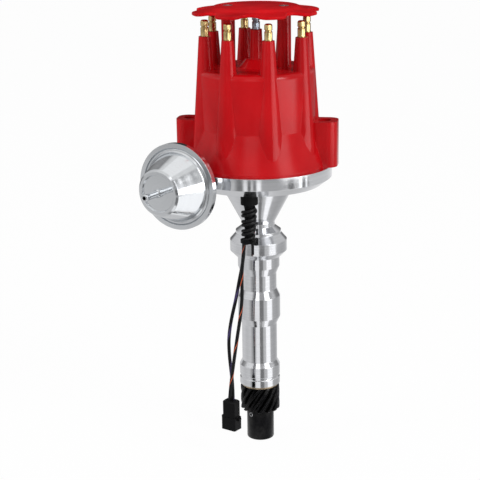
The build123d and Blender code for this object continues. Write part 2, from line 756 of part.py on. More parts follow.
with BuildPart() as rotor_blade:
    with BuildSketch(Plane.XY.offset(rotor_arm_top_z)):
        with Locations(polar(blade_tip_radius / 2, rotor_angle)[:2]):
            Rectangle(blade_tip_radius, blade_width, rotation=rotor_angle)
        Circle(contact_leaf_width)
    extrude(amount=blade_thickness)
    with BuildSketch(Plane.XY.offset(rotor_arm_top_z + blade_thickness)):
        with Locations(polar(blade_tip_radius - blade_tip_length / 2, rotor_angle)[:2]):
            Rectangle(blade_tip_length, blade_width, rotation=rotor_angle)
    extrude(amount=-blade_tip_height)
    with BuildSketch(Plane.XY.offset(rotor_arm_top_z + blade_thickness)):
        Circle(contact_leaf_width / 2)
    extrude(amount=contact_leaf_top_z - rotor_arm_top_z - blade_thickness, taper=contact_leaf_taper)
rotor_blade.part.label = "rotor_blade"
export_step(rotor_blade.part, "parts/rotor_blade.step")

with BuildPart() as rotor_screws:
    with BuildSketch(Plane.XY.offset(rotor_base_top_z)):
        with PolarLocations(rotor_pillar_radius, 2):
            Circle(rotor_screw_head_diameter / 2)
    extrude(amount=rotor_screw_head_height)
    with BuildSketch(Plane.XY.offset(rotor_base_top_z)):
        with PolarLocations(rotor_pillar_radius, 2):
            Circle(rotor_screw_diameter / 2)
    extrude(amount=-rotor_screw_length)
rotor_screws.part.label = "rotor_screws"
export_step(rotor_screws.part, "parts/rotor_screws.step")

# ------------------------------------------------------------------ pickup plate and pickup

with BuildPart() as pickup_plate:
    with BuildSketch(Plane.XY.offset(plate_bottom_z)):
        Circle(plate_radius)
        Circle(plate_pivot_radius + turning_clearance, mode=Mode.SUBTRACT)
        with Locations((link_pin.X, link_pin.Y)):
            Circle(link_pin_diameter / 2, mode=Mode.SUBTRACT)
        with PolarLocations((plate_radius + plate_pivot_radius) / 2, 2, start_angle=45, angular_range=80):
            Circle(6.0, mode=Mode.SUBTRACT)
        with Locations((0, -lead_exit_radius)):
            Rectangle(24.0, 16.0, mode=Mode.SUBTRACT)
    extrude(amount=plate_thickness)
pickup_plate.part.label = "pickup_plate"
export_step(pickup_plate.part, "parts/pickup_plate.step")

with BuildPart() as plate_link_pin:
    with BuildSketch(Plane(origin=(link_pin.X, link_pin.Y, plate_bottom_z))):
        Circle(link_pin_diameter / 2)
    extrude(amount=plate_thickness + link_pin_height)
plate_link_pin.part.label = "plate_link_pin"
export_step(plate_link_pin.part, "parts/plate_link_pin.step")

pickup_floor = Plane(origin=(0, 0, plate_top_z), x_dir=polar(1, pickup_angle), z_dir=(0, 0, 1))
pole_middle = reluctor_bottom_z + reluctor_thickness / 2 - plate_top_z
pickup_middle = pickup_inner_radius + pickup_length / 2

with BuildPart() as pickup_coil:
    with BuildSketch(pickup_floor):
        with Locations((pickup_middle, 0)):
            RectangleRounded(pickup_length, pickup_width, 2.5)
    extrude(amount=pickup_height)
    fillet(pickup_coil.faces().sort_by(Axis.Z)[-1].edges(), 1.2)
pickup_coil.part.label = "pickup_coil"
export_step(pickup_coil.part, "parts/pickup_coil.step")

with BuildPart() as pole_piece:
    with BuildSketch(pickup_floor.offset(pole_middle - pole_tip_height / 2)):
        with Locations(((reluctor_diameter / 2 + air_gap + pickup_inner_radius) / 2, 0)):
            Rectangle(pickup_inner_radius - reluctor_diameter / 2 - air_gap, pole_tip_width)
    extrude(amount=pole_tip_height)
pole_piece.part.label = "pole_piece"
export_step(pole_piece.part, "parts/pole_piece.step")

# ------------------------------------------------------------------ cap

flare_slope = (cap_skirt_radius - cap_body_radius) / (cap_flare_height - cap_skirt_height)
cap_neck_z = cap_flare_top_z - (cap_mouth_radius - cap_inner_radius) / flare_slope

with BuildPart() as cap:
    with BuildSketch(Plane.XZ) as cap_outside:
        with BuildLine():
            Polyline(
                (0, bowl_rim_z),
                (cap_skirt_radius, bowl_rim_z),
                (cap_skirt_radius, bowl_rim_z + cap_skirt_height),
                (cap_body_radius, cap_flare_top_z),
                (cap_body_radius, cap_top_z),
                (0, cap_top_z),
                close=True,
            )
        make_face()
        fillet(cap_outside.vertices().group_by(Axis.Y)[-1].sort_by(Axis.X)[-1], cap_top_round)
    revolve(axis=Axis.Z)
    # screw ears on both sides
    with BuildSketch(Plane.XY.offset(bowl_rim_z)):
        RectangleRounded(2 * ear_reach, ear_width, ear_corner)
    extrude(amount=ear_height)
    # towers that run on down the side as ribs
    with Locations((0, 0, tower_foot_z)):
        with PolarLocations(tower_circle_radius, tower_count, start_angle=first_tower_angle):
            Cone(
                tower_foot_radius,
                tower_top_diameter / 2,
                tower_top_z - tower_foot_z,
                align=(Align.CENTER, Align.CENTER, Align.MIN),
            )
    # centre tower on its pedestal
    with Locations((0, 0, cap_top_z)):
        Cone(
            coil_pedestal_diameter / 2,
            coil_pedestal_top_diameter / 2,
            coil_pedestal_height,
            align=(Align.CENTER, Align.CENTER, Align.MIN),
        )
        Cone(
            coil_tower_foot_diameter / 2,
            coil_tower_top_diameter / 2,
            coil_tower_height,
            align=(Align.CENTER, Align.CENTER, Align.MIN),
        )
    # posts for the wire retainer
    with BuildSketch(Plane.XY.offset(cap_top_z - post_root)):
        with GridLocations(post_spacing, 0, 2, 1):
            Circle(post_diameter / 2)
    extrude(amount=post_height + post_root)
    # inside
    with BuildSketch(Plane.XZ):
        with BuildLine():
            Polyline(
                (0, bowl_rim_z),
                (cap_mouth_radius, bowl_rim_z),
                (cap_mouth_radius, cap_neck_z),
                (cap_inner_radius, cap_flare_top_z),
                (cap_inner_radius, cap_ceiling_z),
                (brush_boss_diameter / 2, cap_ceiling_z),
                (brush_boss_diameter / 2, cap_ceiling_z - brush_boss_drop),
                (0, cap_ceiling_z - brush_boss_drop),
                close=True,
            )
        make_face()
    revolve(axis=Axis.Z, mode=Mode.SUBTRACT)
    # register that drops into the bowl
    with BuildSketch(Plane.XY.offset(bowl_rim_z)):
        Circle(cap_register_radius)
        Circle(cap_mouth_radius, mode=Mode.SUBTRACT)
    extrude(amount=-cap_register_depth)
    # holes for terminals, brush and screws
    with BuildSketch(Plane.XY.offset(terminal_foot_z)):
        with PolarLocations(tower_circle_radius, tower_count, start_angle=first_tower_angle):
            Circle(terminal_shank_radius)
    extrude(amount=tower_top_z - terminal_foot_z, mode=Mode.SUBTRACT)
    with BuildSketch(Plane.XY.offset(cap_ceiling_z)):
        Circle(terminal_shank_radius)
    extrude(amount=coil_tower_top_z - cap_ceiling_z, mode=Mode.SUBTRACT)
    with BuildSketch(Plane.XY.offset(cap_ceiling_z)):
        Circle(brush_diameter / 2 + turning_clearance)
    extrude(amount=-brush_boss_drop, mode=Mode.SUBTRACT)
    with Locations((cap_screw_radius, 0, ear_top_z), (-cap_screw_radius, 0, ear_top_z)):
        CounterBoreHole(
            cap_screw_diameter / 2,
            cap_screw_pocket_diameter / 2,
            ear_height - cap_screw_pocket_floor,
            depth=ear_height,
        )
    with Locations((post_spacing / 2, 0, retainer_bottom_z), (-post_spacing / 2, 0, retainer_bottom_z)):
        Hole(retainer_screw_diameter / 2, depth=retainer_screw_length)
cap.part.label = "cap"
export_step(cap.part, "parts/cap.step")

stem_top = tower_top_z + terminal_stem
groove_top = stem_top + terminal_groove
terminal_top = groove_top + terminal_head
groove_radius = terminal_radius - terminal_groove_depth

with BuildPart(mode=Mode.PRIVATE) as terminal:
    with BuildSketch(Plane.XZ):
        with BuildLine():
            Polyline(
                (0, terminal_foot_z),
                (terminal_shank_radius, terminal_foot_z),
                (terminal_shank_radius, tower_top_z),
                (terminal_radius, tower_top_z),
                (terminal_radius, stem_top),
                (groove_radius, stem_top + terminal_groove_slope),
                (groove_radius, groove_top - terminal_groove_slope),
                (terminal_radius, groove_top),
                (terminal_radius, terminal_top - terminal_nose),
                (terminal_radius - terminal_nose, terminal_top),
                (0, terminal_top),
                close=True,
            )
        make_face()
    revolve(axis=Axis.Z)

with BuildPart() as outer_terminals:
    with PolarLocations(tower_circle_radius, tower_count, start_angle=first_tower_angle):
        add(terminal.part)
outer_terminals.part.label = "outer_terminals"
export_step(outer_terminals.part, "parts/outer_terminals.step")

coil_stem_top = coil_tower_top_z + coil_terminal_stem
coil_groove_top = coil_stem_top + terminal_groove
coil_terminal_top = coil_groove_top + coil_terminal_head

with BuildPart() as coil_terminal:
    with BuildSketch(Plane.XZ):
        with BuildLine():
            Polyline(
                (0, cap_ceiling_z),
                (terminal_shank_radius, cap_ceiling_z),
                (terminal_shank_radius, coil_tower_top_z),
                (terminal_radius, coil_tower_top_z),
                (terminal_radius, coil_stem_top),
                (groove_radius, coil_stem_top + terminal_groove_slope),
                (groove_radius, coil_groove_top - terminal_groove_slope),
                (terminal_radius, coil_groove_top),
                (terminal_radius, coil_terminal_top - terminal_nose),
                (terminal_radius - terminal_nose, coil_terminal_top),
                (0, coil_terminal_top),
                close=True,
            )
        make_face()
    revolve(axis=Axis.Z)
coil_terminal.part.label = "coil_terminal"
export_step(coil_terminal.part, "parts/coil_terminal.step")

with BuildPart() as carbon_brush:
    with BuildSketch(Plane.XY.offset(brush_bottom_z)):
        Circle(brush_diameter / 2)
    extrude(amount=brush_length)
    chamfer(carbon_brush.faces().sort_by(Axis.Z)[0].edges(), 0.5)
carbon_brush.part.label = "carbon_brush"
export_step(carbon_brush.part, "parts/carbon_brush.step")

with BuildPart() as brush_spring:
    with BuildSketch(Plane.XY.offset(brush_top_z)):
        Circle(brush_diameter / 2)
        Circle(brush_diameter / 2 - brush_spring_wire, mode=Mode.SUBTRACT)
    extrude(amount=cap_ceiling_z - brush_top_z)
brush_spring.part.label = "brush_spring"
export_step(brush_spring.part, "parts/brush_spring.step")

with BuildPart() as cap_screws:
    with BuildSketch(Plane.XY.offset(cap_screw_seat_z)):
        with PolarLocations(cap_screw_radius, 2):
            Circle(cap_screw_head_diameter / 2)
    extrude(amount=cap_screw_head_height)
    fillet(cap_screws.faces().group_by(Axis.Z)[-1].edges(), 0.8)
    with BuildSketch(Plane.XY.offset(cap_screw_seat_z + cap_screw_head_height)):
        with PolarLocations(cap_screw_radius, 2):
            Rectangle(cap_screw_head_diameter, 1.2)
    extrude(amount=-1.4, mode=Mode.SUBTRACT)
    with BuildSketch(Plane.XY.offset(cap_screw_seat_z)):
        with PolarLocations(cap_screw_radius, 2):
            Circle(cap_screw_diameter / 2 - turning_clearance)
    extrude(amount=-cap_screw_length)
cap_screws.part.label = "cap_screws"
export_step(cap_screws.part, "parts/cap_screws.step")

# ------------------------------------------------------------------ wire retainer

retainer_top_z = retainer_bottom_z + retainer_thickness

retainer_edge_radius = retainer_diameter / 2
retainer_edge_z = retainer_bottom_z - retainer_droop

# domed plate with a scalloped edge
with BuildPart() as wire_retainer:
    with BuildSketch(Plane.XZ):
        with BuildLine():
            Line((0, retainer_top_z), (retainer_flat_diameter / 2, retainer_top_z))
            TangentArc(
                (retainer_flat_diameter / 2, retainer_top_z),
                (retainer_edge_radius, retainer_edge_z + retainer_thickness),
                tangent=(1, 0),
            )
            Line(
                (retainer_edge_radius, retainer_edge_z + retainer_thickness),
                (retainer_edge_radius, retainer_edge_z),
            )
            TangentArc(
                (retainer_seat_diameter / 2, retainer_bottom_z),
                (retainer_edge_radius, retainer_edge_z),
                tangent=(1, 0),
            )
            Line((retainer_seat_diameter / 2, retainer_bottom_z), (0, retainer_bottom_z))
            Line((0, retainer_bottom_z), (0, retainer_top_z))
        make_face()
    revolve(axis=Axis.Z)
    with BuildSketch(Plane.XY.offset(retainer_edge_z)) as scalloped:
        Circle(retainer_edge_radius)
        with PolarLocations(
            retainer_edge_radius - retainer_notch_inset, tower_count, start_angle=retainer_turn
        ):
            Circle(retainer_notch_diameter / 2, mode=Mode.SUBTRACT)
        fillet(scalloped.vertices(), retainer_lobe_round)
    extrude(amount=retainer_top_z - retainer_edge_z, mode=Mode.INTERSECT)
    with Locations((post_spacing / 2, 0, retainer_top_z), (-post_spacing / 2, 0, retainer_top_z)):
        CounterSinkHole(
            retainer_screw_diameter / 2,
            retainer_screw_head_diameter / 2,
            depth=retainer_thickness,
            counter_sink_angle=retainer_sink_angle,
        )
wire_retainer.part.label = "wire_retainer"
export_step(wire_retainer.part, "parts/wire_retainer.step")

retainer_shank_radius = retainer_screw_diameter / 2 - turning_clearance
retainer_head_height = (retainer_screw_head_diameter / 2 - retainer_shank_radius) / math.tan(
    math.radians(retainer_sink_angle / 2)
)

with BuildPart() as retainer_screws:
    head_z = retainer_top_z - retainer_head_height
    with Locations((0, 0, head_z)):
        with PolarLocations(post_spacing / 2, 2):
            Cone(
                retainer_shank_radius,
                retainer_screw_head_diameter / 2,
                retainer_head_height,
                align=(Align.CENTER, Align.CENTER, Align.MIN),
            )
    with BuildSketch(Plane.XY.offset(retainer_top_z)):
        with PolarLocations(post_spacing / 2, 2):
            RegularPolygon(1.6, 6)
    extrude(amount=-1.2, mode=Mode.SUBTRACT)
    with BuildSketch(Plane.XY.offset(head_z)):
        with PolarLocations(post_spacing / 2, 2):
            Circle(retainer_shank_radius)
    extrude(amount=-retainer_screw_length)
retainer_screws.part.label = "retainer_screws"
export_step(retainer_screws.part, "parts/retainer_screws.step")

# ------------------------------------------------------------------ vacuum canister
# Its outlines are (distance from its axis, distance from the flange plane along the nipple).

vac_radius = vac_diameter / 2
vac_lip_radius = vac_radius - vac_rim_width
dome_foot_radius = vac_dome_foot_diameter / 2
dome_top_radius = vac_dome_top_diameter / 2
recess_radius = vac_recess_diameter / 2
pan_radius = vac_pan_diameter / 2
nipple_radius = nipple_diameter / 2
dome_base = 2.6
shell_gap = diaphragm_thickness / 2

with BuildPart() as canister_front:
    with BuildSketch(vac_section):
        with BuildLine():
            Polyline(
                (vac_radius - vac_sheet, shell_gap),
                (vac_radius - vac_sheet, shell_gap + vac_sheet),
                (vac_lip_radius, shell_gap + vac_sheet),
                (vac_lip_radius - 1.2, dome_base),
                (dome_foot_radius + 1.0, dome_base),
                (dome_foot_radius, dome_base + 1.0),
                (dome_top_radius, vac_dome_height - 1.5),
                (dome_top_radius - 1.5, vac_dome_height),
                (recess_radius + 0.6, vac_dome_height),
                (recess_radius, vac_dome_height - vac_recess_depth),
                (nipple_foot_diameter / 2, vac_dome_height - vac_recess_depth),
                (nipple_foot_diameter / 2, vac_dome_height + 0.4),
                (nipple_radius, vac_dome_height + 1.4),
                (nipple_radius, nipple_tip_distance - 3.0),
                (nipple_barb_diameter / 2, nipple_tip_distance - 2.0),
                (nipple_barb_diameter / 2, nipple_tip_distance - 0.6),
                (nipple_barb_diameter / 2 - 0.6, nipple_tip_distance),
                (nipple_bore_diameter / 2, nipple_tip_distance),
                (nipple_bore_diameter / 2, vac_dome_height - vac_recess_depth - vac_sheet),
                (recess_radius + vac_sheet, vac_dome_height - vac_recess_depth - vac_sheet),
                (dome_top_radius - vac_sheet, vac_dome_height - vac_recess_depth - vac_sheet),
                (dome_foot_radius - vac_sheet, shell_gap),
                close=True,
            )
        make_face()
    revolve(axis=vac_axis)
canister_front.part.label = "canister_front"
export_step(canister_front.part, "parts/canister_front.step")

with BuildPart() as canister_rear:
    with BuildSketch(vac_section):
        with BuildLine():
            Polyline(
                (link_rod_diameter / 2 + 1.0, -vac_pan_depth),
                (pan_radius - 3.0, -vac_pan_depth),
                (pan_radius, -vac_pan_depth + 3.0),
                (vac_lip_radius - 2.0, -vac_sheet - shell_gap),
                (vac_radius, -vac_sheet - shell_gap),
                (vac_radius, 2 * vac_sheet + shell_gap),
                (vac_lip_radius, 2 * vac_sheet + shell_gap),
                (vac_lip_radius, vac_sheet + shell_gap),
                (vac_radius - vac_sheet, vac_sheet + shell_gap),
                (vac_radius - vac_sheet, -shell_gap),
                (vac_lip_radius - 2.0 - vac_sheet, -shell_gap),
                (pan_radius - vac_sheet, -vac_pan_depth + 3.0 + vac_sheet),
                (pan_radius - 3.0 - vac_sheet / 2, -vac_pan_depth + vac_sheet),
                (link_rod_diameter / 2 + 1.0, -vac_pan_depth + vac_sheet),
                close=True,
            )
        make_face()
    revolve(axis=vac_axis)
canister_rear.part.label = "canister_rear"
export_step(canister_rear.part, "parts/canister_rear.step")

cup_radius = diaphragm_cup_diameter / 2

with BuildPart() as diaphragm:
    with BuildSketch(vac_face.offset(-shell_gap)):
        Circle(vac_radius - vac_sheet)
        Circle(cup_radius + passing_gap, mode=Mode.SUBTRACT)
    extrude(amount=diaphragm_thickness)
diaphragm.part.label = "diaphragm"
export_step(diaphragm.part, "parts/diaphragm.step")

# rod with an eye on the plate's pin, and the plates that the diaphragm is clamped between
link_eye = Vector(link_pin.X, link_pin.Y, vac_axis_z)
link_foot = vac_foot + vac_direction * (link_pin - vac_foot).dot(vac_direction)

with BuildPart() as vacuum_link:
    with BuildSketch(Plane(origin=link_foot + Vector(0, 0, -link_eye_thickness / 2))):
        Circle(link_eye_diameter / 2)
        with Locations(((link_eye - link_foot).X, (link_eye - link_foot).Y)):
            Circle(link_pin_diameter / 2 + passing_gap, mode=Mode.SUBTRACT)
    extrude(amount=link_eye_thickness)
    rod_start = link_foot + vac_direction * (link_eye_diameter / 2 - 0.8)
    with BuildSketch(Plane(origin=rod_start, x_dir=(0, 0, 1), z_dir=vac_direction)):
        Circle(link_rod_diameter / 2)
    extrude(amount=(vac_centre - rod_start).dot(vac_direction) + 2.0)
    with BuildSketch(vac_face.offset(-1.6)):
        Circle(cup_radius)
    extrude(amount=3.2)
vacuum_link.part.label = "vacuum_link"
export_step(vacuum_link.part, "parts/vacuum_link.step")

spring_foot = 1.6
spring_top = vac_dome_height - vac_recess_depth - vac_sheet
vac_spring_radius = vac_spring_diameter / 2

with BuildPart() as canister_spring:
    with BuildSketch(vac_face.offset(spring_foot + 0.1)):
        Circle(vac_spring_radius)
        Circle(vac_spring_radius - 1.2, mode=Mode.SUBTRACT)
    extrude(amount=spring_top - spring_foot - 0.1)
canister_spring.part.label = "canister_spring"
export_step(canister_spring.part, "parts/canister_spring.step")

arm_plane = Plane(origin=(vac_foot.X, vac_foot.Y, bowl_floor_z), x_dir=vac_direction, z_dir=(0, 0, 1))
arm_outer_distance = vac_flange_distance - vac_pan_depth
arm_length = arm_outer_distance - arm_inner_distance
arm_first_screw = arm_inner_distance + arm_screw_edge

with BuildPart() as canister_arm:
    with BuildSketch(arm_plane):
        with Locations((arm_inner_distance + arm_length / 2, 0)):
            RectangleRounded(arm_length, arm_width, 0.5)
    extrude(amount=arm_thickness)
    with BuildSketch(arm_plane):
        with Locations((arm_outer_distance - arm_thickness / 2, 0)):
            Rectangle(arm_thickness, arm_width)
    extrude(amount=vac_axis_height + arm_tab_top)
    with BuildSketch(arm_plane):
        with Locations((arm_first_screw, 0), (arm_first_screw + arm_screw_spacing, 0)):
            Circle(arm_screw_diameter / 2)
    extrude(amount=arm_thickness, mode=Mode.SUBTRACT)
    with BuildSketch(vac_face.offset(-vac_pan_depth)):
        Circle(link_rod_diameter / 2 + 1.0)
    extrude(amount=-arm_thickness, mode=Mode.SUBTRACT)
canister_arm.part.label = "canister_arm"
export_step(canister_arm.part, "parts/canister_arm.step")

with BuildPart() as arm_screws:
    with BuildSketch(arm_plane.offset(arm_thickness)):
        with Locations((arm_first_screw, 0), (arm_first_screw + arm_screw_spacing, 0)):
            Circle(arm_screw_diameter / 2)
    extrude(amount=-arm_thickness - bowl_floor_thickness + 0.4)
arm_screws.part.label = "arm_screws"
export_step(arm_screws.part, "parts/arm_screws.step")

# ------------------------------------------------------------------ pickup lead

coil_top_z = bowl_bottom_z - grommet_drop
coil_bottom_z = coil_top_z - coil_length

with BuildPart() as lead_grommet:
    with BuildSketch(Plane(origin=(0, -lead_exit_radius, coil_top_z))):
        Circle(grommet_diameter / 2)
    extrude(amount=grommet_drop)
    with BuildSketch(Plane(origin=(0, -lead_exit_radius, bowl_bottom_z))):
        Circle(grommet_neck_diameter / 2)
    extrude(amount=bowl_floor_thickness)
    with BuildSketch(Plane(origin=(0, -lead_exit_radius, bowl_floor_z))):
        Circle(grommet_flange_diameter / 2)
    extrude(amount=grommet_flange_thickness)
lead_grommet.part.label = "lead_grommet"
export_step(lead_grommet.part, "parts/lead_grommet.step")

# outer shape of the coiled stretch
with BuildPart() as lead_coil:
    with BuildSketch(Plane(origin=(0, -lead_exit_radius, coil_top_z))):
        Circle(coil_top_diameter / 2)
    with BuildSketch(Plane(origin=(-coil_lean, -lead_exit_radius, coil_bottom_z))):
        Circle(coil_foot_diameter / 2)
    loft()
lead_coil.part.label = "lead_coil"
export_step(lead_coil.part, "parts/lead_coil.step")

# cable tie round the coil's foot, with its head and its cut tail
coil_foot_radius = coil_foot_diameter / 2
tie_radius = coil_foot_radius + tie_thickness
tie_centre = Vector(-coil_lean, -lead_exit_radius)
tie_head_middle = tie_centre + polar(tie_radius + tie_head / 2 - tie_thickness, tie_head_angle)
tie_foot_z = coil_bottom_z + tie_height
tie_head_plane = Plane(
    origin=(tie_head_middle.X, tie_head_middle.Y, tie_foot_z), x_dir=polar(1, tie_head_angle), z_dir=(0, 0, 1)
)

with BuildPart() as lead_tie:
    with BuildSketch(Plane(origin=(tie_centre.X, tie_centre.Y, tie_foot_z))):
        Circle(tie_radius)
    extrude(amount=tie_width)
    with BuildSketch(tie_head_plane):
        RectangleRounded(tie_head, tie_head, 0.5)
    extrude(amount=tie_width)
    add(lead_coil.part, mode=Mode.SUBTRACT)
    with BuildSketch(tie_head_plane):
        Rectangle(tie_thickness, tie_width * 0.8)
    extrude(amount=-tie_tail_length)
lead_tie.part.label = "lead_tie"
export_step(lead_tie.part, "parts/lead_tie.step")


def corner_radii(points):
    """Radius for each corner of a route: 0.45 of its shorter run over the tangent of half the turn."""
    radii = []
    for before, corner, after in zip(points, points[1:], points[2:]):
        arriving = Vector(*corner) - Vector(*before)
        leaving = Vector(*after) - Vector(*corner)
        turn = math.radians(arriving.get_angle(leaving))
        radii.append(0.45 * min(arriving.length, leaving.length) / math.tan(turn / 2))
    return radii


wire_violet_route = [
    (-3.0, -41.4, coil_bottom_z),
    (-4.6, -41.3, 10.5),
    (-6.5, -41.2, 1.0),
    (-8.8, -41.0, -10.5),
    (-11.5, -40.6, -25.5),
    (-15.4, -40.6, -41.7),
    (-17.6, -40.4, -56.5),
    (-17.5, -39.9, -70.4),
    (-16.3, -39.4, -84.8),
    (-15.2, -39.4, -96.0),
    (-15.0, -40.2, -108.0),
]
wire_orange_route = [
    (-3.5, -38.6, coil_bottom_z),
    (-5.1, -38.4, 10.5),
    (-6.1, -38.35, 1.0),
    (-6.3, -39.0, -10.0),
    (-6.3, -40.0, -22.0),
    (-7.6, -41.2, -36.7),
    (-10.0, -42.2, -52.1),
    (-12.6, -42.9, -69.9),
    (-14.8, -43.2, -85.7),
    (-16.4, -42.8, -98.0),
    (-17.4, -42.0, -108.0),
]

for name, route in (("wire_violet", wire_violet_route), ("wire_orange", wire_orange_route)):
    radii = corner_radii(route)
    print(name, "corner radii", [round(radius, 1) for radius in radii])
    with BuildPart() as cord:
        with BuildLine() as path:
            FilletPolyline(*route, radius=radii)
        start = Plane(origin=path.line @ 0, z_dir=path.line % 0)
        with BuildSketch(start):
            Circle(wire_diameter / 2)
        sweep(path=path.line)
    length = path.wires()[0].length
    share = cord.part.volume / (math.pi * wire_diameter ** 2 / 4 * length)
    print(name, "length", round(length, 1), "volume over section times length", round(share, 4))
    cord.part.label = name
    export_step(cord.part, f"parts/{name}.step")

# two-pin plug, hanging from the wires
plug_top = Plane(origin=(-16.3, -41.2, -108.0), x_dir=polar(1, plug_turn), z_dir=(0, 0, 1))

with BuildPart() as lead_plug:
    with BuildSketch(plug_top):
        RectangleRounded(plug_width, plug_depth, 1.2)
    extrude(amount=-plug_body_length)
    chamfer(lead_plug.faces().sort_by(Axis.Z)[-1].edges(), plug_top_chamfer)
    with BuildSketch(plug_top.offset(-plug_body_length)):
        RectangleRounded(plug_skirt_width, plug_skirt_depth, 1.2)
    extrude(amount=-plug_skirt_length)
    with BuildSketch(plug_top.offset(-plug_body_length)):
        Rectangle(plug_wing_width, plug_wing_depth)
    extrude(amount=-plug_wing_height)
    with BuildSketch(plug_top.offset(-plug_body_length - plug_skirt_length)):
        Rectangle(plug_skirt_width - 2 * plug_wall, plug_skirt_depth - 2 * plug_wall)
    extrude(amount=plug_skirt_length, mode=Mode.SUBTRACT)
lead_plug.part.label = "lead_plug"
export_step(lead_plug.part, "parts/lead_plug.step")

with BuildPart() as plug_pins:
    with BuildSketch(plug_top.offset(-plug_body_length)):
        with GridLocations(plug_pin_spacing, 0, 2, 1):
            Rectangle(plug_pin_size, plug_pin_size)
    extrude(amount=-plug_pin_length)
plug_pins.part.label = "plug_pins"
export_step(plug_pins.part, "parts/plug_pins.step")
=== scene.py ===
import math

import bpy
import numpy as np
from mathutils import Matrix, Vector


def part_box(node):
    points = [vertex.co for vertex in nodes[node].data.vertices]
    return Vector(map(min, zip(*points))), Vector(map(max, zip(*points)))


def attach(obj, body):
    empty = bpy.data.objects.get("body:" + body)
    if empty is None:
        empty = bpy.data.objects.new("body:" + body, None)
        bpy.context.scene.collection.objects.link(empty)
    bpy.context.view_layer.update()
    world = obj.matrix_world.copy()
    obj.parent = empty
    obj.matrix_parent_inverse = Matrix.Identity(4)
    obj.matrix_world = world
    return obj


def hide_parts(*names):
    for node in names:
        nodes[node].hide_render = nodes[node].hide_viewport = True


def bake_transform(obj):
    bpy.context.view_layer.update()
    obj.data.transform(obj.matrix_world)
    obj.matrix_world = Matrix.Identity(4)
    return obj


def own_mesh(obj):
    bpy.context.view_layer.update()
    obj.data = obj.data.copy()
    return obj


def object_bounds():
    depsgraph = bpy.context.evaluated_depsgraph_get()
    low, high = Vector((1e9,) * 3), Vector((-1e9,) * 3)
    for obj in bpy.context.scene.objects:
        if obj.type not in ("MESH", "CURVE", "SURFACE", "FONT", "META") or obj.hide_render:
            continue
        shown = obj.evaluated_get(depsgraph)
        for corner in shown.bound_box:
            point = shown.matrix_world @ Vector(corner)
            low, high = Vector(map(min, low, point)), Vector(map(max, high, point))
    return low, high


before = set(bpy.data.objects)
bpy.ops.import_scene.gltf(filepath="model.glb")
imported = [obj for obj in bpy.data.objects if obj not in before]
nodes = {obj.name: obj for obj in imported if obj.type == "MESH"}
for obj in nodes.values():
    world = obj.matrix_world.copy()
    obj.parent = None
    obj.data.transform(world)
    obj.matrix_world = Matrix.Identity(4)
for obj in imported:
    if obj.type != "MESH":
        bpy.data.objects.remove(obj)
cad_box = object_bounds()
scene = bpy.context.scene
scene.view_settings.view_transform = "Standard"

# Sizes of pieces are in millimetres and become metres when their points are made. The camera, the
# floor and the studio are in metres.
MM = 0.001
FLOOR_Z = cad_box[0][2]  # the distributor stands on its hub's foot


def polar(radius, angle, z=0.0):
    """A point or a direction from its radius and its angle in degrees about the shaft."""
    return np.array([radius * math.cos(math.radians(angle)), radius * math.sin(math.radians(angle)), z])


# ------------------------ camera

CAMERA_TURN = math.radians(9.5)  # round the shaft, from -Y towards +X
CAMERA_PITCH = math.radians(15.617)  # downwards
CAMERA_YAW = math.radians(-0.7746)
CAMERA_ROLL = math.radians(-0.8631)
CAMERA_STAND = (0.0, -1.07853, 0.31338)  # before its turn round the shaft
CAMERA_LENS = 106.35


def camera_place():
    """The camera stands a metre off, higher than the retainer, and looks down at the flange."""
    stand = Matrix.Rotation(CAMERA_TURN, 4, "Z") @ Vector(CAMERA_STAND)
    heading = Matrix.Rotation(CAMERA_TURN - CAMERA_YAW, 4, "Z")
    tilt = Matrix.Rotation(math.pi / 2 - CAMERA_PITCH, 4, "X")
    return Matrix.Translation(stand) @ heading @ tilt @ Matrix.Rotation(CAMERA_ROLL, 4, "Z")


camera_data = bpy.data.cameras.new("camera")
camera_data.lens = CAMERA_LENS
camera_data.sensor_width = 36.0
camera = bpy.data.objects.new("camera", camera_data)
scene.collection.objects.link(camera)
camera.matrix_world = camera_place()
scene.camera = camera


# ------------------------ pickup lead: two wires wound together

WIRE_DIAMETER = 2.7
WIRE_STEP = 2.8  # from one wire's winding down to the other's
COIL_TOP_Z = 50.0
COIL_FOOT_Z = 23.4
COIL_TURNS = 3.6
COIL_TOP_RADIUS = 5.0
COIL_FOOT_RADIUS = 4.0
COIL_START_SHARE = 0.45  # of its radius, where the wires leave the grommet
COIL_OPENING_TURNS = 0.5
COIL_LEAN = -1.2  # of its foot, along X
COIL_FOOT_ANGLE = 232.0
GROMMET_REACH = 6.0  # of the wires, up into the grommet
POINTS_PER_TURN = 14
LEAD_Y = -40.0

violet_run = [
    (-4.6, -41.1, 20.6),
    (-4.9, -39.5, 16.0),
    (-5.0, -39.0, 10.5),
    (-6.5, -38.9, 1.0),
    (-8.8, -39.5, -10.5),
    (-11.5, -40.2, -25.5),
    (-15.4, -40.6, -41.7),
    (-17.6, -40.4, -56.5),
    (-17.5, -39.9, -70.4),
    (-16.3, -39.4, -84.8),
    (-15.2, -39.4, -96.0),
    (-15.0, -40.2, -108.0),
]
orange_run = [
    (-4.1, -42.5, 16.6),
    (-4.8, -42.0, 12.0),
    (-5.3, -41.8, 6.5),
    (-6.1, -41.6, 0.0),
    (-6.4, -41.4, -10.0),
    (-6.3, -41.1, -22.0),
    (-7.6, -41.4, -36.7),
    (-10.0, -42.2, -52.1),
    (-12.6, -42.9, -69.9),
    (-14.8, -43.2, -85.7),
    (-16.4, -42.8, -98.0),
    (-17.4, -42.0, -108.0),
]


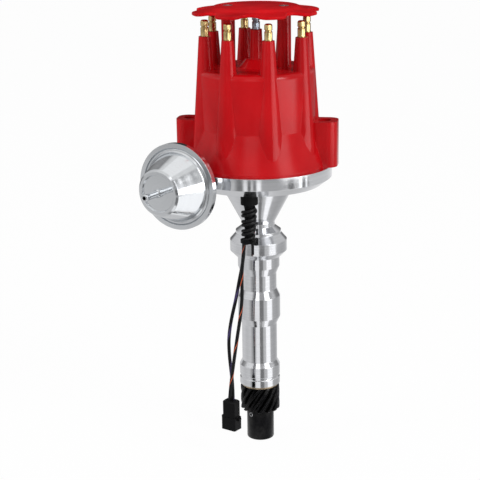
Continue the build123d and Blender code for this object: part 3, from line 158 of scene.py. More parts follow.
def coil_points(turns, foot_z):
    """Points of one winding, from the grommet down. The angle and the height fall evenly to the foot;
    the radius opens over the first half turn, then narrows evenly with the height, and the winding's
    axis leans to the left by the same share."""
    count = int(round(turns * POINTS_PER_TURN)) + 1
    down = np.linspace(0.0, 1.0, count)
    angle = np.radians(COIL_FOOT_ANGLE + 360.0 * turns * (1.0 - down))
    height = COIL_TOP_Z + (foot_z - COIL_TOP_Z) * down
    drop = (COIL_TOP_Z - height) / (COIL_TOP_Z - COIL_FOOT_Z)
    opening = np.clip(down * turns / COIL_OPENING_TURNS, 0.0, 1.0)
    radius = COIL_TOP_RADIUS + (COIL_FOOT_RADIUS - COIL_TOP_RADIUS) * drop
    radius = radius * (COIL_START_SHARE + (1.0 - COIL_START_SHARE) * opening)
    radius = radius / math.cos(math.pi / POINTS_PER_TURN)  # the spline cuts inside its points
    wound = np.column_stack(
        [COIL_LEAN * drop + radius * np.cos(angle), LEAD_Y + radius * np.sin(angle), height]
    )
    inside = wound[0] + np.array([[0.0, 0.0, GROMMET_REACH], [0.0, 0.0, GROMMET_REACH / 2]])
    return np.vstack([inside, wound])


def lead_wire(colour, points, length, *stands_for):
    """One wire of the lead: a smooth spline through the middle of its round section. The bevel's depth
    is 1 and each point's radius is the wire's, so that the curve's own box is no wider than the wire."""
    curve = bpy.data.curves.new("lead_wire_" + colour, "CURVE")
    curve.dimensions = "3D"
    curve.resolution_u = 6
    curve.bevel_depth = 1.0
    curve.bevel_resolution = 5
    curve.use_fill_caps = True
    spline = curve.splines.new("NURBS")
    spline.points.add(len(points) - 1)
    homogeneous = np.column_stack([points * MM, np.ones(len(points))])
    spline.points.foreach_set("co", homogeneous.ravel())
    spline.points.foreach_set("radius", np.full(len(points), WIRE_DIAMETER / 2 * MM))
    spline.order_u = 3
    spline.use_endpoint_u = True
    wire = bpy.data.objects.new("lead_wire_" + colour, curve)
    scene.collection.objects.link(wire)
    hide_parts(*stands_for)
    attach(wire, "base")
    return wire


coil_pitch = (COIL_TOP_Z - COIL_FOOT_Z) / COIL_TURNS
violet_coil = coil_points(COIL_TURNS, COIL_FOOT_Z)
orange_coil = coil_points(COIL_TURNS + WIRE_STEP / coil_pitch, COIL_FOOT_Z - WIRE_STEP)
violet_wire = lead_wire("violet", np.vstack([violet_coil, violet_run]), 0.241, "lead_coil", "wire_violet")
orange_wire = lead_wire("orange", np.vstack([orange_coil, orange_run]), 0.246, "wire_orange")


# ------------------------ shader nodes

def set_inputs(tree, node, inputs):
    """Gives a node's inputs numbers, or links them to other nodes' outputs."""
    for key, value in inputs.items():
        socket = node.inputs[key]
        if isinstance(value, bpy.types.NodeSocket):
            tree.links.new(value, socket)
        else:
            socket.default_value = value


def put(tree, kind, inputs=None, **settings):
    """Adds a node, and sets its properties and then its inputs."""
    node = tree.nodes.new("ShaderNode" + kind)
    for key, value in settings.items():
        setattr(node, key, value)
    set_inputs(tree, node, inputs or {})
    return node


def calc(tree, operation, first, second=0.0, third=0.0):
    """One step of arithmetic."""
    return put(tree, "Math", {0: first, 1: second, 2: third}, operation=operation).outputs[0]


def times(tree, first, second):
    """The product of two values."""
    return calc(tree, "MULTIPLY", first, second)


def plus(tree, first, *others):
    """The sum of two or more values."""
    for other in others:
        first = calc(tree, "ADD", first, other)
    return first


def noise(tree, vector, scale, detail, roughness=0.5):
    """Noise from 0 to 1, with lumps about one over its scale across."""
    inputs = {"Vector": vector, "Scale": scale, "Detail": detail, "Roughness": roughness}
    return put(tree, "TexNoise", inputs).outputs[0]


def axes(tree, vector):
    """The three numbers of a vector."""
    return put(tree, "SeparateXYZ", {0: vector}).outputs


def blend_colour(tree, share, first, second):
    """The first colour, changed into the second by the share."""
    colours = {
        index: value if isinstance(value, bpy.types.NodeSocket) else (*value, 1.0)
        for index, value in ((6, first), (7, second))
    }
    return put(tree, "Mix", {"Factor": share, **colours}, data_type="RGBA").outputs[2]


def span(tree, value, low, high, start=0.0, end=1.0):
    """The value carried smoothly from the range low..high to the range start..end."""
    inputs = {"Value": value, "From Min": low, "From Max": high, "To Min": start, "To Max": end}
    return put(tree, "MapRange", inputs, interpolation_type="SMOOTHSTEP").outputs[0]


def new_group(name, defaults, outputs):
    """An empty shader group that takes a vector and the named values. It gives out values too, apart
    from a normal. Returns its tree, its inputs and its output node."""
    tree = bpy.data.node_groups.new(name, "ShaderNodeTree")
    tree.interface.new_socket(name="Vector", in_out="INPUT", socket_type="NodeSocketVector")
    for label, default in defaults.items():
        socket = tree.interface.new_socket(name=label, in_out="INPUT", socket_type="NodeSocketFloat")
        socket.default_value = default
    for label in outputs:
        kind = "NodeSocketVector" if label == "Normal" else "NodeSocketFloat"
        tree.interface.new_socket(name=label, in_out="OUTPUT", socket_type=kind)
    return tree, tree.nodes.new("NodeGroupInput").outputs, tree.nodes.new("NodeGroupOutput")


def rounded_edges_group():
    """Softens sharp edges in the normal, and masks where they are, broken up by noise as handling does."""
    defaults = {"Radius": 0.0004, "Break up": 0.5}
    tree, given, result = new_group("rounded edges", defaults, ("Normal", "Edge"))
    soft = put(tree, "Bevel", {"Radius": given["Radius"]}, samples=4).outputs[0]
    own = put(tree, "NewGeometry").outputs["Normal"]
    facing = put(tree, "VectorMath", {0: soft, 1: own}, operation="DOT_PRODUCT").outputs["Value"]
    edge = span(tree, facing, 0.985, 0.86)
    patchy = span(tree, noise(tree, given["Vector"], 420.0, 3.0), 0.35, 0.62)
    lost = times(tree, given["Break up"], calc(tree, "SUBTRACT", 1.0, patchy))
    kept = times(tree, edge, calc(tree, "SUBTRACT", 1.0, lost))
    set_inputs(tree, result, {"Normal": soft, "Edge": kept})
    return tree


def turning_lines_group():
    """Fine rings left by a lathe tool: noise that changes along the axis and the radius, not round it."""
    tree, given, result = new_group("turning lines", {"Pitch": 0.0012}, ("Lines", "Bands"))
    split = axes(tree, given["Vector"])
    flat = put(tree, "CombineXYZ", {0: split[0], 1: split[1]}).outputs[0]
    radius = put(tree, "VectorMath", {0: flat}, operation="LENGTH").outputs["Value"]
    rings = put(tree, "CombineXYZ", {0: radius, 2: split[2]}).outputs[0]
    fine = noise(tree, rings, calc(tree, "DIVIDE", 1.0, given["Pitch"]), 5.0, 0.65)
    coarse = noise(tree, rings, calc(tree, "DIVIDE", 0.16, given["Pitch"]), 1.0)
    set_inputs(tree, result, {"Lines": fine, "Bands": coarse})
    return tree


def moulded_skin_group():
    """The skin of a moulding: slow waves as in a polished mould, and a fine even grain."""
    defaults = {"Wave": 0.004, "Grain": 0.0003}
    tree, given, result = new_group("moulded skin", defaults, ("Waves", "Grain", "Tone"))
    waves = noise(tree, given["Vector"], calc(tree, "DIVIDE", 1.0, given["Wave"]), 1.5)
    grain = noise(tree, given["Vector"], calc(tree, "DIVIDE", 1.0, given["Grain"]), 4.0)
    tone = noise(tree, given["Vector"], 26.0, 2.5)
    set_inputs(tree, result, {"Waves": waves, "Grain": grain, "Tone": tone})
    return tree


def hairlines_group():
    """Stray hairline scratches: the thin middle levels of two stretched, turned noises."""
    tree, given, result = new_group("hairlines", {"Length": 0.006}, ("Scratch",))
    scale = calc(tree, "DIVIDE", 1.0, given["Length"])
    found = []
    for turn, lean in ((0.5, 0.2), (-1.1, 0.9)):
        bend = {"Rotation": (lean, turn, turn * 2.0), "Scale": (1.0, 14.0, 14.0)}
        bent = put(tree, "Mapping", {"Vector": given["Vector"], **bend}).outputs[0]
        off_middle = calc(tree, "ABSOLUTE", calc(tree, "SUBTRACT", noise(tree, bent, scale, 2.0), 0.5))
        found.append(span(tree, off_middle, 0.012, 0.0))
    set_inputs(tree, result, {"Scratch": calc(tree, "MAXIMUM", found[0], found[1])})
    return tree


def dust_group():
    """Dust and finger marks: soft patches, thicker where the surface looks up."""
    tree, given, result = new_group("dust", {"Amount": 0.3}, ("Dust",))
    up = axes(tree, put(tree, "NewGeometry").outputs["Normal"])[2]
    lying = span(tree, up, 0.1, 0.95, 0.35, 1.0)
    cloud = span(tree, noise(tree, given["Vector"], 55.0, 6.0, 0.7), 0.45, 0.75)
    specks = put(tree, "TexVoronoi", {"Vector": given["Vector"], "Scale": 900.0}).outputs["Distance"]
    patches = plus(tree, cloud, times(tree, span(tree, specks, 0.18, 0.05), 0.5))
    set_inputs(tree, result, {"Dust": times(tree, times(tree, patches, lying), given["Amount"])})
    return tree


GROUPS = {
    "edges": rounded_edges_group(),
    "turned": turning_lines_group(),
    "skin": moulded_skin_group(),
    "hair": hairlines_group(),
    "dust": dust_group(),
}


def use(tree, group, inputs):
    """Places a shared group and returns its outputs."""
    node = tree.nodes.new("ShaderNodeGroup")
    node.node_tree = GROUPS[group]
    set_inputs(tree, node, inputs)
    return node.outputs


def blank(name):
    """A new material: its tree, its object coordinates and its Principled shader."""
    material = bpy.data.materials.new(name)
    material.use_nodes = True
    tree = material.node_tree
    place = put(tree, "TexCoord").outputs["Object"]
    return material, tree, place, tree.nodes["Principled BSDF"]


def handling(tree, place, radius, gaps, hair, dusty):
    """The marks of handling: the edges, broken up by the share of gaps, the hairlines and the dust."""
    edges = use(tree, "edges", {"Vector": place, "Radius": radius * MM, "Break up": gaps})
    scratch = use(tree, "hair", {"Vector": place, "Length": hair * MM})["Scratch"]
    dust = use(tree, "dust", {"Vector": place, "Amount": dusty})["Dust"]
    return edges, scratch, dust


def finish_shader(tree, shader, colour, roughness, height, depth, metallic, edges=None):
    """Joins the worked-out colour, roughness and relief to the shader. The relief lies on the rounded
    edges' normal, where there are any."""
    relief = {"Height": height, "Strength": 1.0, "Distance": depth * MM}
    if edges is not None:
        relief["Normal"] = edges["Normal"]
    normal = put(tree, "Bump", relief).outputs[0]
    found = {"Base Color": colour, "Roughness": roughness, "Normal": normal, "Metallic": metallic}
    set_inputs(tree, shader, found)


def turned_metal(
    name, colour, worn, roughness, pitch, depth, edge=0.35, radius=0.35, place_on=None, dull=0.0, ring=0.84
):
    """Turned and polished metal: lathe rings in colour, roughness and relief, bright worn edges,
    a few hairlines, and a faint film of dust. place_on carries the rings to another axis."""
    material, tree, place, shader = blank(name)
    if place_on is not None:
        mapping = {"Vector": place, "Location": place_on[0], "Rotation": place_on[1]}
        place = put(tree, "Mapping", mapping).outputs[0]
    edges, scratch, dust = handling(tree, place, radius, 0.5, 7.0, 0.25)
    rings = use(tree, "turned", {"Vector": place, "Pitch": pitch * MM})
    deep = tuple(c * ring for c in colour)
    dulled = tuple(c * 0.6 for c in colour)
    tone = blend_colour(tree, span(tree, rings["Lines"], 0.35, 0.65), deep, colour)
    tone = blend_colour(tree, times(tree, rings["Bands"], dull), tone, dulled)
    tone = blend_colour(tree, times(tree, edges["Edge"], edge), tone, worn)
    tone = blend_colour(tree, times(tree, dust, 0.3), tone, (0.55, 0.54, 0.52))
    banded = times(tree, span(tree, rings["Bands"], 0.35, 0.7), 0.08)
    rough = plus(tree, roughness, banded, times(tree, scratch, 0.12), times(tree, dust, 0.15))
    height = calc(tree, "SUBTRACT", rings["Lines"], times(tree, scratch, 0.25))
    finish_shader(tree, shader, tone, rough, height, depth, 1.0, edges)
    return material


def ground_metal(name, colour, worn, roughness, spangle, grain, depth, edge=0.4, radius=0.25):
    """Plated, ground or drawn metal: a cloudy spangle in the tone, a fine grain in the relief,
    hairlines, and edges rubbed to the bare metal."""
    material, tree, place, shader = blank(name)
    edges, scratch, dust = handling(tree, place, radius, 0.6, 5.0, 0.35)
    skin = use(tree, "skin", {"Vector": place, "Wave": spangle * MM, "Grain": grain * MM})
    dark = tuple(c * 0.72 for c in colour)
    tone = blend_colour(tree, span(tree, skin["Waves"], 0.3, 0.7), dark, colour)
    tone = blend_colour(tree, times(tree, span(tree, skin["Tone"], 0.5, 0.75), 0.35), tone, dark)
    tone = blend_colour(tree, times(tree, edges["Edge"], edge), tone, worn)
    tone = blend_colour(tree, times(tree, dust, 0.3), tone, (0.5, 0.48, 0.45))
    rough = plus(tree, roughness, times(tree, skin["Tone"], 0.12), times(tree, scratch, 0.1))
    height = calc(tree, "SUBTRACT", skin["Grain"], times(tree, scratch, 0.3))
    finish_shader(tree, shader, tone, rough, height, depth, 1.0, edges)
    return material


def moulding(
    name, colour, deep, rubbed, roughness, specular, wave, grain, depth, edge=0.3, radius=0.45, dusty=0.4
):
    """Moulded plastic or rubber: slow waves and a fine grain in the skin, a shade of uneven colour,
    edges rubbed paler, hairlines and dust."""
    material, tree, place, shader = blank(name)
    edges, scratch, dust = handling(tree, place, radius, 0.7, 9.0, dusty)
    skin = use(tree, "skin", {"Vector": place, "Wave": wave * MM, "Grain": grain * MM})
    tone = blend_colour(tree, span(tree, skin["Tone"], 0.3, 0.7), deep, colour)
    tone = blend_colour(tree, times(tree, edges["Edge"], edge), tone, rubbed)
    tone = blend_colour(tree, times(tree, scratch, 0.06), tone, rubbed)
    tone = blend_colour(tree, times(tree, dust, 0.035), tone, (0.5, 0.47, 0.45))
    uneven = times(tree, calc(tree, "SUBTRACT", skin["Tone"], 0.5), 0.12)
    rough = plus(tree, roughness, uneven, times(tree, scratch, 0.08), times(tree, dust, 0.2))
    height = calc(tree, "MULTIPLY_ADD", skin["Grain"], 0.12, skin["Waves"])
    finish_shader(tree, shader, tone, rough, height, depth, 0.0, edges)
    shader.inputs["Specular IOR Level"].default_value = specular
    return material


def traced_wire(name, tracer, share, pitch, start):
    """Black extruded insulation with a tracer stripe that winds round it: the stripe is where the
    turn round the wire plus the height over the stripe's pitch falls in its share of a whole turn.
    It starts below the coil."""
    material, tree, place, shader = blank(name)
    skin = use(tree, "skin", {"Vector": place, "Wave": 1.6 * MM, "Grain": 0.2 * MM})
    dust = use(tree, "dust", {"Vector": place, "Amount": 0.3})["Dust"]
    around = axes(tree, put(tree, "TexCoord").outputs["UV"])[1]
    height = axes(tree, place)[2]
    phase = plus(tree, calc(tree, "MULTIPLY_ADD", height, 1.0 / (pitch * MM), around), start)
    centre = calc(tree, "ABSOLUTE", calc(tree, "SUBTRACT", calc(tree, "FRACT", phase), 0.5))
    stripe = span(tree, centre, share / 2, share / 2 - 0.03)
    ragged = span(tree, skin["Grain"], 0.25, 0.5)
    below_coil = span(tree, height, 22.0 * MM, 14.0 * MM)
    stripe = times(tree, times(tree, stripe, ragged), below_coil)
    black = blend_colour(
        tree, span(tree, skin["Tone"], 0.3, 0.7), (0.003, 0.003, 0.0035), (0.006, 0.006, 0.0065)
    )
    tone = blend_colour(tree, stripe, black, tracer)
    tone = blend_colour(tree, times(tree, dust, 0.012), tone, (0.4, 0.4, 0.4))
    rough = calc(tree, "MULTIPLY_ADD", skin["Tone"], 0.15, 0.36)
    finish_shader(tree, shader, tone, rough, skin["Waves"], 0.06, 0.0)
    shader.inputs["Specular IOR Level"].default_value = 0.2
    return material


def coated_cloth(name):
    """Rubber on woven cloth: two crossed waves raise the threads under a matt black skin."""
    material, tree, place, shader = blank(name)
    skin = use(tree, "skin", {"Vector": place, "Wave": 2.0 * MM, "Grain": 0.25 * MM})
    dust = use(tree, "dust", {"Vector": place, "Amount": 0.3})["Dust"]
    thread = {"Vector": place, "Scale": 330.0, "Distortion": 0.4}
    threads = [put(tree, "TexWave", thread, bands_direction=way).outputs[1] for way in ("X", "Z")]
    weave = calc(tree, "MAXIMUM", threads[0], threads[1])
    tone = blend_colour(tree, weave, (0.006, 0.006, 0.006), (0.02, 0.02, 0.021))
    tone = blend_colour(tree, times(tree, dust, 0.1), tone, (0.3, 0.29, 0.27))
    rough = calc(tree, "MULTIPLY_ADD", skin["Grain"], 0.2, 0.55)
    finish_shader(tree, shader, tone, rough, weave, 0.1, 0.0)
    return material


def sintered_bronze(name):
    """Pressed bronze powder: dark pores between tan grains, and a polished tone on the edges."""
    material, tree, place, shader = blank(name)
    edges = use(tree, "edges", {"Vector": place, "Radius": 0.2 * MM, "Break up": 0.4})
    rings = use(tree, "turned", {"Vector": place, "Pitch": 0.8 * MM})
    pores = put(tree, "TexVoronoi", {"Vector": place, "Scale": 3200.0}).outputs["Distance"]
    open_pore = span(tree, pores, 0.22, 0.08)
    tone = blend_colour(tree, span(tree, rings["Bands"], 0.3, 0.7), (0.38, 0.29, 0.19), (0.54, 0.44, 0.31))
    tone = blend_colour(tree, times(tree, open_pore, 0.8), tone, (0.10, 0.06, 0.03))
    tone = blend_colour(tree, times(tree, edges["Edge"], 0.5), tone, (0.75, 0.55, 0.32))
    rough = calc(tree, "MULTIPLY_ADD", rings["Lines"], 0.2, 0.28)
    height = calc(tree, "SUBTRACT", rings["Lines"], open_pore)
    finish_shader(tree, shader, tone, rough, height, 0.03, 1.0, edges)
    return material


# ------------------------ materials

CANISTER_ANGLE = -112.0
CANISTER_OUT = polar(1.0, CANISTER_ANGLE)
CANISTER_MIDDLE = np.array([-50.25, -58.97, 68.1])

# carries the canister's axis to Z, round which the lathe rings run
to_front = Matrix.Rotation(math.radians(-90.0 - CANISTER_ANGLE), 4, "Z")
canister_place = Matrix.Rotation(math.pi / 2, 4, "X") @ to_front @ Matrix.Translation(-CANISTER_MIDDLE * MM)
canister_rings = (tuple(canister_place.to_translation()), tuple(canister_place.to_euler("XYZ")))

aluminium = turned_metal(
    "turned aluminium", (0.80, 0.81, 0.83), (0.93, 0.93, 0.94), 0.06, pitch=1.1, depth=0.0012, ring=0.93
)
bright_plate = turned_metal(
    "bright canister plate", (0.76, 0.78, 0.80), (0.92, 0.92, 0.93), 0.07, pitch=0.7, depth=0.0008,
    edge=0.3, radius=0.5, place_on=canister_rings, ring=0.95,
)
brass = turned_metal(
    "terminal brass", (0.74, 0.56, 0.25), (0.90, 0.76, 0.46), 0.20, pitch=0.5, depth=0.01, edge=0.6,
    radius=0.3, dull=0.9,
)
terminal_plate = turned_metal(
    "grey terminal plate", (0.36, 0.42, 0.48), (0.62, 0.66, 0.70), 0.24, pitch=0.5, depth=0.01,
    edge=0.5, radius=0.3, dull=0.6,
)
bright_steel = turned_metal(
    "ground steel", (0.58, 0.59, 0.60), (0.82, 0.82, 0.83), 0.17, pitch=0.5, depth=0.006, dull=0.2
)
ball_steel = ground_metal(
    "polished ball steel", (0.62, 0.63, 0.65), (0.85, 0.85, 0.86), 0.08, spangle=3.0, grain=0.3, depth=0.001
)
stamped_steel = ground_metal(
    "stamped steel", (0.50, 0.50, 0.50), (0.80, 0.80, 0.80), 0.24, spangle=1.5, grain=0.12, depth=0.008
)
zinc = ground_metal(
    "zinc plate", (0.58, 0.58, 0.56), (0.80, 0.80, 0.79), 0.27, spangle=2.6, grain=0.2, depth=0.01
)
screw_zinc = ground_metal(
    "screw zinc", (0.52, 0.52, 0.51), (0.80, 0.80, 0.79), 0.22, spangle=1.2, grain=0.15, depth=0.006
)
spring_wire_steel = ground_metal(
    "spring wire", (0.44, 0.44, 0.45), (0.75, 0.75, 0.75), 0.25, spangle=0.8, grain=0.1, depth=0.004
)
black_oxide = ground_metal(
    "black oxide", (0.012, 0.012, 0.013), (0.08, 0.08, 0.084), 0.30, spangle=1.8, grain=0.2, depth=0.01,
    edge=0.75, radius=0.35,
)
red_moulding = moulding(
    "red moulding", (0.520, 0.0028, 0.0060), (0.420, 0.0022, 0.0048), (0.560, 0.016, 0.022),
    roughness=0.20, specular=0.21, wave=5.0, grain=0.35, depth=0.03,
)
retainer_red = moulding(
    "retainer red", (0.640, 0.0028, 0.0065), (0.420, 0.0022, 0.0050), (0.560, 0.020, 0.028),
    roughness=0.36, specular=0.05, wave=3.5, grain=0.3, depth=0.02,
)
black_moulding = moulding(
    "black moulding", (0.005, 0.005, 0.0055), (0.003, 0.003, 0.0035), (0.022, 0.022, 0.023),
    roughness=0.45, specular=0.08, wave=2.0, grain=0.25, depth=0.012, edge=0.6, radius=0.3,
)
coil_bobbin = moulding(
    "bobbin moulding", (0.020, 0.018, 0.016), (0.012, 0.011, 0.010), (0.07, 0.065, 0.06),
    roughness=0.5, specular=0.35, wave=1.5, grain=0.15, depth=0.02, edge=0.5, radius=0.3,
)
black_rubber = moulding(
    "black rubber", (0.004, 0.004, 0.0045), (0.0025, 0.0025, 0.003), (0.016, 0.016, 0.017),
    roughness=0.6, specular=0.10, wave=1.2, grain=0.18, depth=0.02, edge=0.4, radius=0.3,
)
carbon = moulding(
    "pressed carbon", (0.035, 0.035, 0.037), (0.02, 0.02, 0.021), (0.12, 0.12, 0.125),
    roughness=0.48, specular=0.5, wave=0.5, grain=0.08, depth=0.015, edge=0.5, radius=0.2,
)
bronze = sintered_bronze("sintered bronze")
diaphragm_cloth = coated_cloth("coated cloth")
violet_insulation = traced_wire("violet traced insulation", (0.048, 0.035, 0.11), 0.28, 31.0, 0.2)
orange_insulation = traced_wire("orange traced insulation", (0.56, 0.11, 0.045), 0.11, 27.0, 0.086)

FINISH_OF = {
    aluminium: ("housing",),
    bright_plate: ("canister_front", "canister_rear"),
    bronze: ("lower_bush", "thrust_washer"),
    bright_steel: (
        "main_shaft", "bearing_outer_race", "bearing_inner_race", "weight_pins", "plate_link_pin",
        "gear_roll_pin", "plug_pins", "reluctor",
    ),
    ball_steel: ("bearing_balls",),
    stamped_steel: ("pole_piece", "vacuum_link", "bearing_snap_ring", "plate_snap_ring"),
    zinc: (
        "pickup_plate", "trigger_plate", "advance_cam", "advance_weight_front", "advance_weight_rear",
        "canister_arm",
    ),
    screw_zinc: ("cap_screws", "retainer_screws", "rotor_screws", "arm_screws"),
    black_oxide: ("drive_gear",),
    brass: ("outer_terminals", "rotor_blade"),
    terminal_plate: ("coil_terminal",),
    spring_wire_steel: ("advance_springs", "canister_spring", "brush_spring"),
    red_moulding: ("cap",),
    retainer_red: ("wire_retainer",),
    black_moulding: ("rotor", "lead_plug", "lead_tie"),
    coil_bobbin: ("pickup_coil",),
    black_rubber: ("lead_grommet", "lead_coil"),
    carbon: ("carbon_brush",),
    diaphragm_cloth: ("diaphragm",),
    violet_insulation: ("wire_violet",),
    orange_insulation: ("wire_orange",),
}


def paint(piece, material):
    """Gives a piece its material, in every slot that it has."""
    if not piece.material_slots:
        piece.data.materials.append(material)
    for slot in piece.material_slots:
        slot.material = material


for material, names in FINISH_OF.items():
    for name in names:
        paint(nodes[name], material)
paint(violet_wire, violet_insulation)
paint(orange_wire, orange_insulation)


# ------------------------ surfaces worked out from profiles and paths

def full_turn(sides):
    """Evenly spaced angles once round."""
    return np.linspace(0.0, 2 * math.pi, sides, endpoint=False)


def ease(value, start, end):
    """0 at the start, 1 at the end, and an S-shaped cubic between them."""
    share = np.clip((value - start) / (end - start), 0.0, 1.0)
    return share * share * (3.0 - 2.0 * share)


def round_grid(radius, angle, height, middle=(0.0, 0.0)):
    """Points of a part round an upright axis, a ring for each row, from its radius, angle and height."""
    x = middle[0] + radius * np.cos(angle)
    y = middle[1] + radius * np.sin(angle)
    return np.stack(np.broadcast_arrays(x, y, height), axis=-1) * MM


def grid_quads(count, sides, closed=False):
    """Faces between each ring of a grid and the next, and between its last and its first if it is closed."""
    row = np.arange(count if closed else count - 1)[:, None]
    next_row = (row + 1) % count
    here = np.arange(sides)[None, :]
    after = (here + 1) % sides
    corners = [row * sides + here, row * sides + after, next_row * sides + after, next_row * sides + here]
    return np.stack(corners, axis=-1).reshape(-1, 4)


def outwards(points, quads, fans):
    """Turns every face over if the volume that the faces enclose comes out negative."""
    corners = np.vstack([quads[:, :3], quads[:, [0, 2, 3]], fans])
    a, b, c = (points[corners[:, k]] for k in range(3))
    if np.einsum("ij,ij->i", a - points[0], np.cross(b - points[0], c - points[0])).sum() < 0:
        quads, fans = quads[:, ::-1], fans[:, ::-1]
    return points, quads, fans


def hoop(rings):
    """Points and faces of a bored part: rings of points along a closed profile, each joined to the next
    and the last to the first."""
    no_fans = np.zeros((0, 3), dtype=int)
    return outwards(rings.reshape(-1, 3), grid_quads(*rings.shape[:2], closed=True), no_fans)


def shell(rings):
    """Points and faces of a closed surface: rings of points, each joined to the next, and each end
    closed by a fan about its middle."""
    count, sides = rings.shape[:2]
    points = np.vstack([rings.reshape(-1, 3), rings[0].mean(axis=0), rings[-1].mean(axis=0)])
    here = np.arange(sides)
    after = (here + 1) % sides
    first = np.full(sides, count * sides)
    last_row = (count - 1) * sides
    start = np.stack([first, after, here], axis=-1)
    end = np.stack([first + 1, last_row + here, last_row + after], axis=-1)
    return outwards(points, grid_quads(count, sides), np.vstack([start, end]))


def mesh_object(name, points, faces, crease):
    """A mesh object in place, smooth over edges that bend by less than the crease in degrees."""
    mesh = bpy.data.meshes.new(name)
    mesh.from_pydata(points.tolist(), [], faces)
    mesh.polygons.foreach_set("use_smooth", np.ones(len(faces), dtype=bool))
    mesh.set_sharp_from_angle(angle=math.radians(crease))
    mesh.update()
    made = bpy.data.objects.new(name, mesh)
    scene.collection.objects.link(made)
    return made


def piece(name, shells, material, body, stands_for, slot, crease=40.0):
    """One mesh object of closed shells, with its material and body; its slot is not used. A piece
    that is blended between two bodies is given none."""
    points, faces, base = [], [], 0
    for own_points, quads, fans in shells:
        points.append(own_points)
        faces += (quads + base).tolist() + (fans + base).tolist()
        base += len(own_points)
    made = mesh_object(name, np.vstack(points), faces, crease)
    paint(made, material)
    if body:
        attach(made, body)
    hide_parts(*stands_for)
    return made


def lowest_and_highest(node):
    """Heights of a node's foot and top."""
    return (corner[2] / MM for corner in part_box(node))


# ------------------------ terminals

TOWER_COUNT = 8
TOWER_CIRCLE = 39.8
TERMINAL_SIDES = 60
STEM_RADIUS = 3.15
NECK_RADIUS = 2.45
SHANK_RADIUS = 2.5
GROOVE_WIDTH = 1.4
FLUTES = 6
FLUTE_DEPTH = 0.11  # share of the radius


def terminal_profile(foot, seat, stem, head, top):
    """Radius, height and flute share from the foot inside the cap to the flat top."""
    return [
        (0.3, foot, 0), (2.2, foot, 0), (SHANK_RADIUS, foot + 0.3, 0), (SHANK_RADIUS, seat, 0),
        (3.0, seat, 0), (STEM_RADIUS, seat + 0.15, 0), (STEM_RADIUS, seat + 1.0, 0),
        (STEM_RADIUS, seat + 1.25, 1), (STEM_RADIUS, stem - 0.5, 1), (STEM_RADIUS, stem - 0.2, 0),
        (2.95, stem, 0), (NECK_RADIUS, stem + 0.4, 0), (NECK_RADIUS, head - 0.4, 0), (2.95, head, 0),
        (STEM_RADIUS, head + 0.2, 0), (STEM_RADIUS, head + 0.5, 1), (STEM_RADIUS, top - 1.5, 1),
        (3.0, top - 0.9, 0.6), (2.5, top - 0.35, 0.2), (1.9, top - 0.05, 0), (1.5, top, 0), (0.3, top, 0),
    ]


def fluted_terminal(profile, middle):
    """A terminal: the profile's radius turned about an upright axis, less shallow flutes whose depth is
    the profile's third number times a cosine of the angle."""
    angle = full_turn(TERMINAL_SIDES)
    radius, height, share = np.array(profile).T[:, :, None]
    flute = 1.0 - FLUTE_DEPTH * share * (0.5 + 0.5 * np.cos(FLUTES * angle))
    return shell(round_grid(radius * flute, angle, height, middle))


tower_angles = full_turn(TOWER_COUNT) + math.pi / TOWER_COUNT
tower_middles = TOWER_CIRCLE * np.column_stack([np.cos(tower_angles), np.sin(tower_angles)])
for node, seat, stem, middles, material, slot in (
    ("outer_terminals", 174.0, 180.6, tower_middles, brass, "terminal_brass"),
    ("coil_terminal", 177.8, 183.4, [(0.0, 0.0)], terminal_plate, "terminal_steel"),
):
    foot, top = lowest_and_highest(node)
    profile = terminal_profile(foot, seat, stem, stem + GROOVE_WIDTH, top)
    terminals = [fluted_terminal(profile, middle) for middle in middles]
    piece(node + "_turned", terminals, material, "cap_unit", [node], slot)


# ------------------------ wire retainer

RETAINER_TOP_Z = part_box("wire_retainer")[1][2] / MM
RETAINER_THICKNESS = 2.4
RETAINER_EDGE_RADIUS = 49.0
RETAINER_SIDES = 480
STEP_INNER_RADIUS = 31.0  # of the step from the raised middle down to the lobes
STEP_OUTER_RADIUS = 37.0
STEP_FALL = 2.1
LOBE_FALL = 1.4  # from the step's foot to the edge
NOTCH_COUNT = 8
NOTCH_RADIUS = 8.5
NOTCH_MIDDLE = 48.5  # from the plate's middle
NOTCH_TURN = math.radians(3.5)
LOBE_ROUND = 6.5
SCREW_MIDDLE = 21.5
DIP_RADIUS = 4.3  # of the dip round a screw's head
DIP_WALL = 0.45
DIP_DEPTH = 0.5
RIM = (  # inset from the outline and depth below the top, over the rounded edge
    (0.9, 0.0), (0.45, 0.07), (0.15, 0.3), (0.0, 0.7), (0.0, 1.7), (0.15, 2.1), (0.45, 2.33), (0.9, 2.4)
)


def lobed_outline(angle):
    """Radius of the lobed plate by angle: the near side of a notch's circle, then the arc that rounds
    the lobe, tangent to the notch's circle and to the plate's, then the plate's own circle."""
    half_pitch = math.pi / NOTCH_COUNT
    off = np.abs((angle - NOTCH_TURN + half_pitch) % (2 * half_pitch) - half_pitch)
    arc_middle = RETAINER_EDGE_RADIUS - LOBE_ROUND
    apart = NOTCH_RADIUS + LOBE_ROUND
    turn = math.acos((arc_middle**2 + NOTCH_MIDDLE**2 - apart**2) / (2 * arc_middle * NOTCH_MIDDLE))
    share = NOTCH_RADIUS / apart
    meet_x = NOTCH_MIDDLE + (arc_middle * math.cos(turn) - NOTCH_MIDDLE) * share
    meet = math.atan2(arc_middle * math.sin(turn) * share, meet_x)
    notch = NOTCH_MIDDLE * np.cos(off) - np.sqrt(
        np.maximum(NOTCH_RADIUS**2 - (NOTCH_MIDDLE * np.sin(off)) ** 2, 0.0)
    )
    arc = arc_middle * np.cos(off - turn) + np.sqrt(
        np.maximum(LOBE_ROUND**2 - (arc_middle * np.sin(off - turn)) ** 2, 0.0)
    )
    return np.where(off < meet, notch, np.where(off < turn, arc, RETAINER_EDGE_RADIUS))


